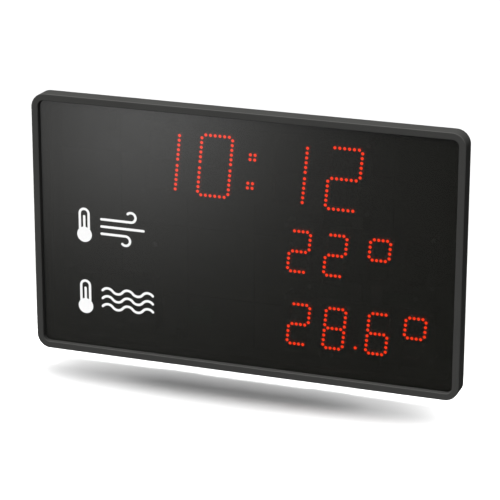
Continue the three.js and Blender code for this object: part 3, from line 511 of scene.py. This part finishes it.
def swept_frame(profile, half_x, half_z, radius, steps=14):
    """A closed profile of inset and depth, carried round a rectangle with round corners."""
    bm = bmesh.new()
    start = [bm.verts.new((half_x - inset, FRONT + depth, half_z - radius)) for inset, depth in profile]
    edges = [bm.edges.new(pair) for pair in zip(start, start[1:] + start[:1])]
    reach_x, reach_z = half_x - radius, half_z - radius
    corners = ((reach_x, reach_z), (-reach_x, reach_z), (-reach_x, -reach_z), (reach_x, -reach_z))
    runs = ((-2 * reach_x, 0), (0, -2 * reach_z), (2 * reach_x, 0), (0, 2 * reach_z))
    for (x, z), (run_x, run_z) in zip(corners, runs):
        made = bmesh.ops.spin(
            bm, geom=edges, cent=(x, 0, z), axis=(0, -1, 0), angle=math.pi / 2, steps=steps, use_merge=False
        )
        made = bmesh.ops.extrude_edge_only(bm, edges=edges_of(made["geom_last"]))
        bmesh.ops.translate(bm, vec=(run_x, 0, run_z), verts=verts_of(made["geom"]))
        edges = [e for e in edges_of(made["geom"]) if is_across(e)]
    close_and_face_out(bm)
    return bm


def rounder_outside(bm, half_x, half_z, radius, outer, band):
    """Gives the outside of a swept frame larger corners than its inside."""
    for vert in bm.verts:
        over_x, over_z = abs(vert.co.x) - (half_x - radius), abs(vert.co.z) - (half_z - radius)
        inset = radius - math.hypot(over_x, over_z)
        if min(over_x, over_z) > -SAME and inset < band:
            turn = math.atan2(over_z, over_x)
            vert.co.x = math.copysign(half_x - outer + (outer - inset) * math.cos(turn), vert.co.x)
            vert.co.z = math.copysign(half_z - outer + (outer - inset) * math.sin(turn), vert.co.z)


def is_across(edge):
    """Whether an edge of a straight run lies in its end, and not along it."""
    longest_in_profile = 30 * MM
    return edge.calc_length() < longest_in_profile


def bevel_along(bm, inset, depth, half_x, half_z, radius, width, segments):
    """Rounds the edges of a swept frame that lie at one inset and depth."""
    reach = 0.02 * MM

    def on_line(vert):
        x, z = abs(vert.co.x), abs(vert.co.z)
        over_x, over_z = x - (half_x - radius), z - (half_z - radius)
        if over_x > 0 and over_z > 0:
            found = radius - math.hypot(over_x, over_z)
        else:
            found = min(half_x - x, half_z - z)
        return abs(found - inset) < reach and abs(vert.co.y - FRONT - depth) < reach

    line = [edge for edge in bm.edges if all(on_line(vert) for vert in edge.verts)]
    bmesh.ops.bevel(
        bm, geom=line, affect="EDGES", offset=width, segments=segments, profile=0.5, material=-1
    )


class DISPLAY_OT_rim(bpy.types.Operator):
    """Make the rounded rim round the window"""

    bl_idname = "display.rim"
    bl_label = "Make Rim"

    def execute(self, context):
        sizes = context.scene.case_sizes
        low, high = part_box("front_bezel")
        half_x, half_z, depth = (high.x - low.x) / 2, (high.z - low.z) / 2, high.y - low.y
        ledge_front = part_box("window_tape")[1].y - FRONT
        ledge_back = ledge_front + sizes.wall
        inner, ledge_end = sizes.land - sizes.slant / 2, sizes.land + sizes.ledge
        seal_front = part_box("shell_seal")[0].y - FRONT
        profile = (
            (sizes.taper, depth),
            (0, 0),
            (inner, 0),
            (inner + sizes.slant, ledge_front),
            (ledge_end, ledge_front),
            (ledge_end, seal_front),
            (ledge_end - sizes.rib, seal_front),
            (ledge_end - sizes.rib, ledge_back),
            (inner - sizes.rib, ledge_back),
            (inner - sizes.rib, sizes.wall),
            (sizes.taper + sizes.wall, sizes.wall),
            (sizes.taper + sizes.wall, depth),
        )
        bm = swept_frame(profile, half_x, half_z, sizes.corner_radius)
        rounder_outside(bm, half_x, half_z, sizes.corner_radius, sizes.outer_radius, sizes.land / 2)
        bevel_along(bm, 0, 0, half_x, half_z, sizes.outer_radius, sizes.edge_rounding, segments=5)
        bevel_along(bm, inner, 0, half_x, half_z, sizes.corner_radius, sizes.inner_rounding, segments=3)
        new_piece("rim_moulding", bm, "rim_plastic", replaces=["front_bezel"])
        return {"FINISHED"}


class DISPLAY_OT_window(bpy.types.Operator):
    """Make the smoked window"""

    bl_idname = "display.window"
    bl_label = "Make Window"

    def execute(self, context):
        sizes = context.scene.case_sizes
        low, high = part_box("front_window")
        half_x, half_z = (high.x - low.x) / 2, (high.z - low.z) / 2
        radius = sizes.corner_radius - sizes.land
        back = high.y - sizes.tape_gap
        bm = rounded_slab((0, 0), half_x, half_z, radius, low.y, back, sizes.pane_edge, segments=12)
        new_piece("smoked_pane", bm, "smoked_window", replaces=["front_window"])
        return {"FINISHED"}


def bar_places(line, bar):
    """Places of the lamps in one bar of a digit, in millimetres across and up from its middle."""
    across, up = line["across"], line["up"]
    middles = {
        "a": (0, up),
        "g": (0, 0),
        "d": (0, -up),
        "b": (across, up / 2),
        "c": (across, -up / 2),
        "e": (-across, -up / 2),
        "f": (-across, up / 2),
    }
    x, z = middles[bar]
    steps = [i - (line["count"] - 1) / 2 for i in range(line["count"])]
    if bar in "agd":
        return [(x + step * line["pitch_across"], z) for step in steps]
    return [(x, z + step * line["pitch_up"]) for step in steps]


def lamp_places(line):
    """Places of the lit and the dark lamps of a line, in millimetres from its middle, before its slant."""
    lit, dark = [], []
    halves = (-line["digit"] / 2, line["digit"] / 2)
    middles = [pair + half for pair in (-line["spread"], line["spread"]) for half in halves]
    for middle, sign in zip(middles, line["shows"]):
        for bar in "abcdefg":
            places = [(middle + across, up) for across, up in bar_places(line, bar)]
            (lit if bar in BARS[sign] else dark).extend(places)
    for place, is_lit in line["extra"]:
        (lit if is_lit else dark).append(place)
    return lit, dark


def display_lines():
    """The three lines: the sizes of their digits in millimetres, and what they show.

    spread is from a line's middle to that of a pair of digits, and digit is between the digits of a pair.
    across and up are from a digit's middle to its bars. A bar has count lamps.
    """
    clock = {
        "spread": 74.1,
        "digit": 62.15,
        "across": 17.85,
        "up": 34.4,
        "count": 6,
        "pitch_up": 5.42,
        "pitch_across": 5.5,
    }
    small = {
        "spread": 45.5,
        "digit": 41.65,
        "across": 11.3,
        "up": 23.2,
        "count": 4,
        "pitch_up": 5.47,
        "pitch_across": 4.93,
    }
    half, colon_up, shift_across, shift_up = clock["pitch_up"] / 2, 16.2, -0.6, -1.9
    colon = [
        ((x * half + shift_across, side * colon_up + z * half + shift_up), True)
        for side in (-1, 1)
        for x in (-1, 1)
        for z in (-1, 1)
    ]
    point = (1.5, -19.2)
    return {
        "clock": {**clock, "shows": ("1", "0", "1", "2"), "extra": colon},
        "air": {**small, "shows": ("2", "2", "deg", "off"), "extra": [(point, False)]},
        "pool": {**small, "shows": ("2", "8", "6", "deg"), "extra": [(point, True)]},
    }


def lamp_shape(sizes):
    """One round lamp with a domed end, as a mesh that stands on Y = 0 and looks forward."""
    bm = bmesh.new()
    shoulder, dome_steps, sides = sizes.radius - sizes.height, 3, 12
    centre = bm.verts.new((0, sizes.sunk, 0))
    foot = bm.verts.new((sizes.radius, sizes.sunk, 0))
    top = bm.verts.new((sizes.radius, shoulder, 0))
    bm.edges.new((centre, foot))
    bm.edges.new((foot, top))
    bmesh.ops.spin(
        bm,
        geom=[top],
        cent=(0, shoulder, 0),
        axis=(0, 0, -1),
        angle=math.pi / 2,
        steps=dome_steps,
        use_merge=False,
    )
    bmesh.ops.spin(
        bm, geom=bm.edges[:], cent=(0, 0, 0), axis=(0, 1, 0), angle=2 * math.pi, steps=sides, use_merge=True
    )
    close_and_face_out(bm)
    mesh = bpy.data.meshes.new("lamp_pattern")
    bm.to_mesh(mesh)
    bm.free()
    return mesh


class DISPLAY_OT_lamp_boards(bpy.types.Operator):
    """Make the three boards and their round lamps"""

    bl_idname = "display.lamp_boards"
    bl_label = "Make Lamp Boards"

    def execute(self, context):
        sizes = context.scene.lamp_sizes
        lean = math.tan(sizes.slant)
        pattern = lamp_shape(sizes)
        for name, line in display_lines().items():
            node = f"display_board_{name}"
            low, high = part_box(node)
            middle = ((low.x + high.x) / 2, (low.z + high.z) / 2)
            half_x, half_z = (high.x - low.x) / 2, (high.z - low.z) / 2
            front = low.y + sizes.height
            back = front + sizes.board_thickness
            board = rounded_slab(middle, half_x, half_z, sizes.board_radius, front, back)
            new_piece(f"lamp_board_{name}", board, "lamp_board", replaces=[node])
            for state, places in zip(("lit", "dark"), lamp_places(line)):
                bm = bmesh.new()
                for across, up in places:
                    place = (middle[0] + (across + lean * up) * MM, front, middle[1] + up * MM)
                    add_bmesh(bm, pattern, place)
                new_piece(f"{state}_lamps_{name}", bm, "lamp_board", finish=f"{state}_lamp")
        bpy.data.meshes.remove(pattern)
        return {"FINISHED"}


# Place of the signs across the window, and of the lines in a sign from its middle, in millimetres
SIGNS_ACROSS, LINES_START = -190.5, 21


class DISPLAY_OT_signs(bpy.types.Operator):
    """Print the two signs on the window: a thermometer by wind, and one by water"""

    bl_idname = "display.signs"
    bl_label = "Print Signs"

    def execute(self, context):
        sizes = context.scene.case_sizes
        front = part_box("front_window")[0].y
        gap = 0.005 * MM
        for name, z, draw in (("air", 1.5, wind_lines), ("pool", -83.5, water_lines)):
            bm = bmesh.new()
            thermometer(bm, sizes.sign_stroke)
            draw(bm, sizes.sign_stroke)
            made = bmesh.ops.extrude_face_region(bm, geom=bm.faces[:])
            bmesh.ops.translate(bm, vec=(0, -sizes.ink_thickness, 0), verts=verts_of(made["geom"]))
            bmesh.ops.recalc_face_normals(bm, faces=bm.faces)
            bmesh.ops.translate(bm, vec=(SIGNS_ACROSS * MM, front - gap, z * MM), verts=bm.verts)
            new_piece(f"{name}_sign", bm, "rim_plastic", finish="white_ink")
        return {"FINISHED"}


def ribbon_start(bm, x, z, width, tilt=0.0):
    """The first edge of a stroke, across its direction. A tilt of 0 makes a stroke that runs along X."""
    reach = Vector((-math.sin(tilt), 0, math.cos(tilt))) * width / 2
    middle = Vector((x, 0, z))
    return bm.edges.new((bm.verts.new(middle - reach), bm.verts.new(middle + reach)))


def run_stroke(bm, edge, vector):
    """Carries a stroke on in a straight line, and gives its new end."""
    made = bmesh.ops.extrude_edge_only(bm, edges=[edge])
    bmesh.ops.translate(bm, vec=vector, verts=verts_of(made["geom"]))
    return next(e for e in edges_of(made["geom"]) if all(v in verts_of(made["geom"]) for v in e.verts))


def turn_stroke(bm, edge, centre, angle, steps):
    """Carries a stroke on round a centre, and gives its new end."""
    middle = (centre[0], 0, centre[1])
    made = bmesh.ops.spin(
        bm, geom=[edge], cent=middle, axis=(0, -1, 0), angle=angle, steps=steps, use_merge=False
    )
    return edges_of(made["geom_last"])[0]


def disc(bm, x, z, radius, segments=28):
    """A round spot of ink that stands a hair above the strokes that it ends."""
    lift = 0.02 * MM
    place = Matrix.Translation((x, -lift, z)) @ Matrix.Rotation(math.pi / 2, 4, "X")
    bmesh.ops.create_circle(bm, cap_ends=True, segments=segments, radius=radius, matrix=place)


def thermometer(bm, width):
    """A bulb, and the outline of the glass and the column, which both start inside the bulb."""
    glass, bulb, bottom, top, column_length = [size * MM for size in (5.4, 9, -11.5, 13, 15)]
    foot = bottom + bulb * 0.7
    end = ribbon_start(bm, -glass, foot, width, -math.pi / 2)
    end = run_stroke(bm, end, (0, 0, top - foot))
    end = turn_stroke(bm, end, (0, top), -math.pi, steps=18)
    run_stroke(bm, end, (0, 0, foot - top))
    disc(bm, 0, bottom, bulb, segments=40)
    tip = foot + column_length
    column = ribbon_start(bm, 0, foot, width, -math.pi / 2)
    run_stroke(bm, column, (0, 0, tip - foot))
    disc(bm, 0, tip, width / 2)


def wind_lines(bm, width):
    """Three lines of moving air, of which two curl at their ends."""
    left, curl_turn = LINES_START * MM, math.radians(225)
    for sizes in ((8.5, 57, 5.5), (0, 72, 0), (-8.5, 50, -5.5)):
        z, right, curl = [size * MM for size in sizes]
        disc(bm, left, z, width / 2)
        end = run_stroke(bm, ribbon_start(bm, left, z, width), (right - left, 0, 0))
        if curl:
            end = turn_stroke(bm, end, (right, z + curl), math.copysign(curl_turn, curl), steps=22)
        tip = sum((vert.co for vert in end.verts), Vector()) / 2
        disc(bm, tip.x, tip.z, width / 2)


def water_lines(bm, width):
    """Three waves, of short arcs that follow on each other."""
    left, radius, pitch, turn, arcs = LINES_START * MM, 8 * MM, 9.5 * MM, math.radians(100), 5
    half = turn / 2
    for z in (pitch, 0, -pitch):
        end = ribbon_start(bm, left, z, width, half)
        disc(bm, left, z, width / 2)
        x, sign = left, 1
        for _ in range(arcs):
            centre = (x + radius * math.sin(half), z - sign * radius * math.cos(half))
            end = turn_stroke(bm, end, centre, -sign * turn, steps=10)
            x, sign = x + 2 * radius * math.sin(half), -sign
        disc(bm, x, z, width / 2)


def turned(profile, segments=28):
    """A round shape: a profile of radius and height in millimetres, spun round the Z axis."""
    bm = bmesh.new()
    points = [bm.verts.new((radius * MM, 0, height * MM)) for radius, height in profile]
    edges = [bm.edges.new(pair) for pair in zip(points, points[1:])]
    bmesh.ops.spin(
        bm, geom=edges, cent=(0, 0, 0), axis=(0, 0, 1), angle=2 * math.pi, steps=segments, use_merge=True
    )
    close_and_face_out(bm)
    return bm


def round_edges(bm, width, segments=3, least=50):
    """Rounds the edges at which two faces meet at more than an angle in degrees."""
    sharp = [edge for edge in bm.edges if edge.is_manifold and edge.calc_face_angle() > math.radians(least)]
    bmesh.ops.bevel(
        bm, geom=sharp, affect="EDGES", offset=width, segments=segments, profile=0.5, material=-1
    )


def cross_recess(bm, height, radius):
    """Closes the open top of a screw's head with a face that has a recess for a cross-head screwdriver."""
    half, draft, depth = radius * 0.62, radius * 0.05, radius * 0.42
    rim = [edge for edge in bm.edges if edge.is_boundary]
    top = Matrix.Translation((0, 0, height))
    made = bmesh.ops.create_grid(bm, x_segments=3, y_segments=3, size=half, matrix=top)
    faces = list(dict.fromkeys(face for vert in made["verts"] for face in vert.link_faces))
    border = [edge for face in faces for edge in face.edges if edge.is_boundary]
    bmesh.ops.bridge_loops(bm, edges=list(dict.fromkeys(rim + border)))
    cross = []
    for face in faces:
        middle = face.calc_center_median()
        if min(abs(middle.x), abs(middle.y)) < half / 6:
            cross.append(face)
    bmesh.ops.inset_region(bm, faces=cross, thickness=draft, depth=-depth, use_even_offset=True)
    close_and_face_out(bm)


def screw(shank, head, head_height, whole, round_over):
    """A screw on its tip, with a rounded head and a cross recess. Radii and heights are in millimetres."""
    tip, chamfer, flat = shank * 0.7, shank * 0.4, head * 0.74
    under, crown = whole - head_height, whole - round_over
    profile = [(0, 0), (tip, 0), (shank, chamfer), (shank, under), (head, under)]
    profile += [
        (head - round_over * (1 - math.cos(turn)), crown + round_over * math.sin(turn))
        for turn in (0, math.pi / 6, math.pi / 3, math.pi / 2)
    ]
    bm = turned(profile + [(flat, whole)])
    cross_recess(bm, whole * MM, flat * MM)
    return bm


def stand_along(bm, axis, node, flip=False):
    """Turns a shape from the Z axis to the axis of a node, and puts its foot at the node's end."""
    low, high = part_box(node)
    place = (low + high) / 2
    index = "XYZ".index(axis)
    place[index] = high[index] if flip else low[index]
    quarter = math.pi / 2
    turns = {"X": Matrix.Rotation(quarter, 4, "Y"), "Y": Matrix.Rotation(-quarter, 4, "X"), "Z": Matrix()}
    over = Matrix.Rotation(math.pi, 4, "X") if flip else Matrix()
    bmesh.ops.transform(bm, matrix=Matrix.Translation(place) @ turns[axis] @ over, verts=bm.verts)


class DISPLAY_OT_screws(bpy.types.Operator):
    """Make the case screws and the two locking screws"""

    bl_idname = "display.screws"
    bl_label = "Make Screws"

    def execute(self, context):
        for index in range(1, 9):
            node = f"case_screw_{index}"
            bm = screw(shank=1.4, head=2.8, head_height=2, whole=11, round_over=0.8)
            stand_along(bm, "Y", node)
            new_piece(f"pan_head_{node}", bm, "bright_steel", replaces=[node])
        for side in ("left", "right"):
            node = f"locking_screw_{side}"
            bm = screw(shank=1.8, head=3.5, head_height=3, whole=15, round_over=0.75)
            stand_along(bm, "Z", node, flip=True)
            new_piece(f"pan_head_{node}", bm, "bright_steel", node, replaces=[node])
        return {"FINISHED"}


class DISPLAY_OT_buttons(bpy.types.Operator):
    """Make the two setting buttons, with a hollow for the fingertip"""

    bl_idname = "display.buttons"
    bl_label = "Make Buttons"

    def execute(self, context):
        hollow = [(0, 0.35), (0.9, 0.31), (1.7, 0.19), (2.4, 0)]
        edge = [(2.85, 0.08), (3.1, 0.28), (3.2, 0.6)]
        collar = [(3.2, 4.8), (4.4, 4.8), (4.6, 5), (4.6, 5.8), (4.4, 6), (1.3, 6)]
        stem = [(1.3, 14.3), (1.1, 14.5), (0, 14.5)]
        for index in (1, 2):
            node = f"setting_button_{index}"
            bm = turned([*hollow, *edge, *collar, *stem])
            stand_along(bm, "Z", node)
            new_piece(f"button_cap_{index}", bm, "button_plastic", node, replaces=[node])
        return {"FINISHED"}


class DISPLAY_OT_grommets(bpy.types.Operator):
    """Make the two rubber grommets of the cable entries"""

    bl_idname = "display.grommets"
    bl_label = "Make Grommets"

    def execute(self, context):
        bore, groove, flange, thickness, length_over_all, rounding = 3.5, 8.7, 11, 1.5, 5.5, 0.4
        back_flange = length_over_all - thickness
        front_half = [(bore, 0), (flange, 0), (flange, thickness), (groove, thickness)]
        back_half = [(groove, back_flange), (flange, back_flange), (flange, length_over_all)]
        profile = [*front_half, *back_half, (bore, length_over_all), (bore, 0)]
        for name in ("mains", "signal"):
            node = f"{name}_grommet"
            bm = turned(profile, segments=36)
            round_edges(bm, rounding * MM)
            stand_along(bm, "Y", node)
            new_piece(f"{name}_cable_ring", bm, "black_rubber", replaces=[node])
        return {"FINISHED"}


class DISPLAY_OT_hanger_rods(bpy.types.Operator):
    """Make the two rods that hang in the hooks"""

    bl_idname = "display.hanger_rods"
    bl_label = "Make Hanger Rods"

    def execute(self, context):
        radius, chamfer = 3.2, 0.4
        end = radius - chamfer
        for side in ("left", "right"):
            node = f"hanger_rod_{side}"
            low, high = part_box(node)
            reach = (high.x - low.x) / MM
            first = [(0, 0), (end, 0), (radius, chamfer)]
            last = [(radius, reach - chamfer), (end, reach), (0, reach)]
            bm = turned(first + last, segments=36)
            stand_along(bm, "X", node)
            new_piece(f"round_{node}", bm, "bright_steel", replaces=[node])
        return {"FINISHED"}


class DISPLAY_OT_frame_finishes(bpy.types.Operator):
    """Give the solids that stay in view the finish of their slot"""

    bl_idname = "display.frame_finishes"
    bl_label = "Finish the Solids"

    def execute(self, context):
        for part in frame["record"]["subparts"]:
            node = frame["nodes"][part["node"]]
            node.data.materials.clear()
            node.data.materials.append(finishes[part["material_slot"]])
        return {"FINISHED"}


class DISPLAY_OT_stage(bpy.types.Operator):
    """Make the floor, the lights and the camera"""

    bl_idname = "display.stage"
    bl_label = "Make Stage"

    def execute(self, context):
        settings = context.scene.stage_settings
        make_lights(context, settings, make_floor(settings))
        make_camera(context)
        context.scene.view_settings.view_transform = "Standard"
        return {"FINISHED"}


def make_floor(settings):
    """A plain pale floor that shows white and keeps the display's shadow."""
    reach, near, far = 6, 20 * MM, 120 * MM
    bm = bmesh.new()
    bmesh.ops.create_grid(bm, x_segments=1, y_segments=1, size=reach)
    bmesh.ops.translate(bm, vec=(0, 0, cad_box[0].z - settings.floor_drop), verts=bm.verts)
    mesh = bpy.data.meshes.new("studio_floor")
    bm.to_mesh(mesh)
    bm.free()
    finish = Finish("pale_floor", Roughness=1, Specular_IOR_Level=0)
    behind = finish.rise(finish.depth(), near, far)
    white = finish.blend(behind, (settings.floor_shade,) * 3, (settings.far_floor_shade,) * 3)
    grey = (0.1, 0.1, 0.1)
    finish.set(Base_Color=finish.blend(finish.in_view(), grey, white))
    mesh.materials.append(finish.material)
    floor = bpy.data.objects.new("studio_floor", mesh)
    bpy.context.collection.objects.link(floor)
    return floor


def add_light(name, data, place, toward):
    """Places a light that shines from a direction."""
    light = bpy.data.objects.new(name, data)
    light.location = place
    light.rotation_mode = "QUATERNION"
    light.rotation_quaternion = Vector(toward).to_track_quat("Z", "Y")
    bpy.context.collection.objects.link(light)
    return light


def sun(name, toward, brightness, softness):
    """A distant light that gives a white surface facing it a brightness, from a disc of an angular size."""
    data = bpy.data.lights.new(name, "SUN")
    data.energy, data.angle = brightness * math.pi, math.radians(softness)
    return add_light(name, data, (0, 0, 0), toward)


def area(name, place, target, size, power):
    """A soft light with a width and a height that faces a target."""
    data = bpy.data.lights.new(name, "AREA")
    data.shape, data.energy = "RECTANGLE", power
    data.size, data.size_y = size
    light = add_light(name, data, place, Vector(place) - Vector(target))
    light.visible_camera = False
    return light


def light_only(light, piece, state="INCLUDE"):
    """Lets a light fall on one piece only, or on all but that piece."""
    linked = bpy.data.collections.new(f"{light.name}_link")
    linked.objects.link(piece)
    linked.collection_objects[0].light_linking.link_state = state
    light.light_linking.receiver_collection = linked


def make_lights(context, settings, floor):
    """Lights of the display, lights of the floor, an even sky, and a light that only the window mirrors."""
    world = bpy.data.worlds.new("studio_sky")
    world.use_nodes = True
    backdrop = world.node_tree.nodes["Background"]
    sky = Shading(world.node_tree)
    sky.feed(backdrop.inputs["Color"], sky.blend(sky.in_view(), (settings.sky,) * 3, (1, 1, 1)))
    context.scene.world = world
    for name, toward, brightness, softness in (
        ("top_light", (0, 0, 1), settings.top_light, 34),
        ("front_light", (-0.35, -0.75, 0.75), settings.front_light, 40),
        ("side_light", (0.9, -0.4, 0.2), settings.side_light, 60),
    ):
        light_only(sun(name, toward, brightness, softness), floor, "EXCLUDE")
    light_only(sun("floor_light", (0, 0.095, 1), settings.floor_light, 10), floor)
    light_only(sun("floor_fill_light", (0, 0.435, 1), settings.floor_fill, 76), floor)
    reach, height, size = 0.42, 0.055, (0.04, 0.04)
    middle = sum(cad_box, Vector()) / 2
    for name, side, power in (("left", -1, settings.left_power), ("right", 1, settings.right_power)):
        place = Vector((side * reach, middle.y, cad_box[0].z - settings.floor_drop + height))
        light_only(area(f"{name}_end_light", place, place - Vector((side, 0, 0)), size, power), floor)
    place, target, size = (-0.51, -1.01, -0.115), (-0.13, FRONT, 0.12), (0.1, 0.1)
    sheen = area("sheen_light", place, target, size, settings.sheen_power)
    sheen.visible_diffuse = sheen.data.use_shadow = False
    light_only(sheen, bpy.data.objects["smoked_pane"])


def make_camera(context):
    """A long lens at the angle, distance and focal length that the corners of the display's face give."""
    azimuth, elevation, roll = [math.radians(angle) for angle in (20.134, 18.022, 0.128)]
    aside, below, distance = 9.31 * MM, 4.97 * MM, 2587.36 * MM
    focal_pixels, picture_pixels, sensor_width = 2360.8, 500, 36
    outward = math.cos(elevation)
    back = Vector((math.sin(azimuth) * outward, -math.cos(azimuth) * outward, math.sin(elevation)))
    level = Vector((math.cos(azimuth), math.sin(azimuth), 0))
    upright = back.cross(level)
    right = math.cos(roll) * level + math.sin(roll) * upright
    up = math.cos(roll) * upright - math.sin(roll) * level
    place = Vector((0, FRONT, 0)) + right * aside - up * below + back * distance
    data = bpy.data.cameras.new("studio_camera")
    data.sensor_width = sensor_width
    data.lens = focal_pixels / picture_pixels * sensor_width
    data.clip_start, data.clip_end = 0.05, 50
    camera = bpy.data.objects.new("studio_camera", data)
    camera.matrix_world = Matrix.Translation(place) @ Matrix((right, up, back)).transposed().to_4x4()
    bpy.context.collection.objects.link(camera)
    context.scene.camera = camera


class DISPLAY_PT_panel(bpy.types.Panel):
    """Sidebar panel with the sizes, colours and steps of the display"""

    bl_idname = "DISPLAY_PT_panel"
    bl_label = "Wall Display"
    bl_space_type = "VIEW_3D"
    bl_region_type = "UI"
    bl_category = "Wall Display"

    def draw(self, context):
        for group in PROPERTIES:
            settings = getattr(context.scene, group)
            for key in settings.__annotations__:
                self.layout.prop(settings, key)
        for operator in OPERATORS:
            self.layout.operator(operator.bl_idname)


PROPERTIES = {
    "case_sizes": CaseSizes,
    "lamp_sizes": LampSizes,
    "finish_colours": FinishColours,
    "stage_settings": StageSettings,
}
OPERATORS = (
    DISPLAY_OT_rim,
    DISPLAY_OT_window,
    DISPLAY_OT_lamp_boards,
    DISPLAY_OT_signs,
    DISPLAY_OT_screws,
    DISPLAY_OT_buttons,
    DISPLAY_OT_grommets,
    DISPLAY_OT_hanger_rods,
    DISPLAY_OT_frame_finishes,
    DISPLAY_OT_stage,
)


def register():
    for group in (*PROPERTIES.values(), *OPERATORS, DISPLAY_PT_panel):
        bpy.utils.register_class(group)
    for name, group in PROPERTIES.items():
        setattr(bpy.types.Scene, name, bpy.props.PointerProperty(type=group))


def unregister():
    for name in PROPERTIES:
        delattr(bpy.types.Scene, name)
    for group in reversed((*PROPERTIES.values(), *OPERATORS, DISPLAY_PT_panel)):
        bpy.utils.unregister_class(group)


def main():
    register()
    scene = bpy.context.scene
    finishes.update(make_finishes(scene.finish_colours, scene.stage_settings))
    bpy.ops.display.rim()
    bpy.ops.display.window()
    bpy.ops.display.lamp_boards()
    bpy.ops.display.signs()
    bpy.ops.display.screws()
    bpy.ops.display.buttons()
    bpy.ops.display.grommets()
    bpy.ops.display.hanger_rods()
    bpy.ops.display.frame_finishes()
    bpy.ops.display.stage()


if __name__ == "__main__":
    main()
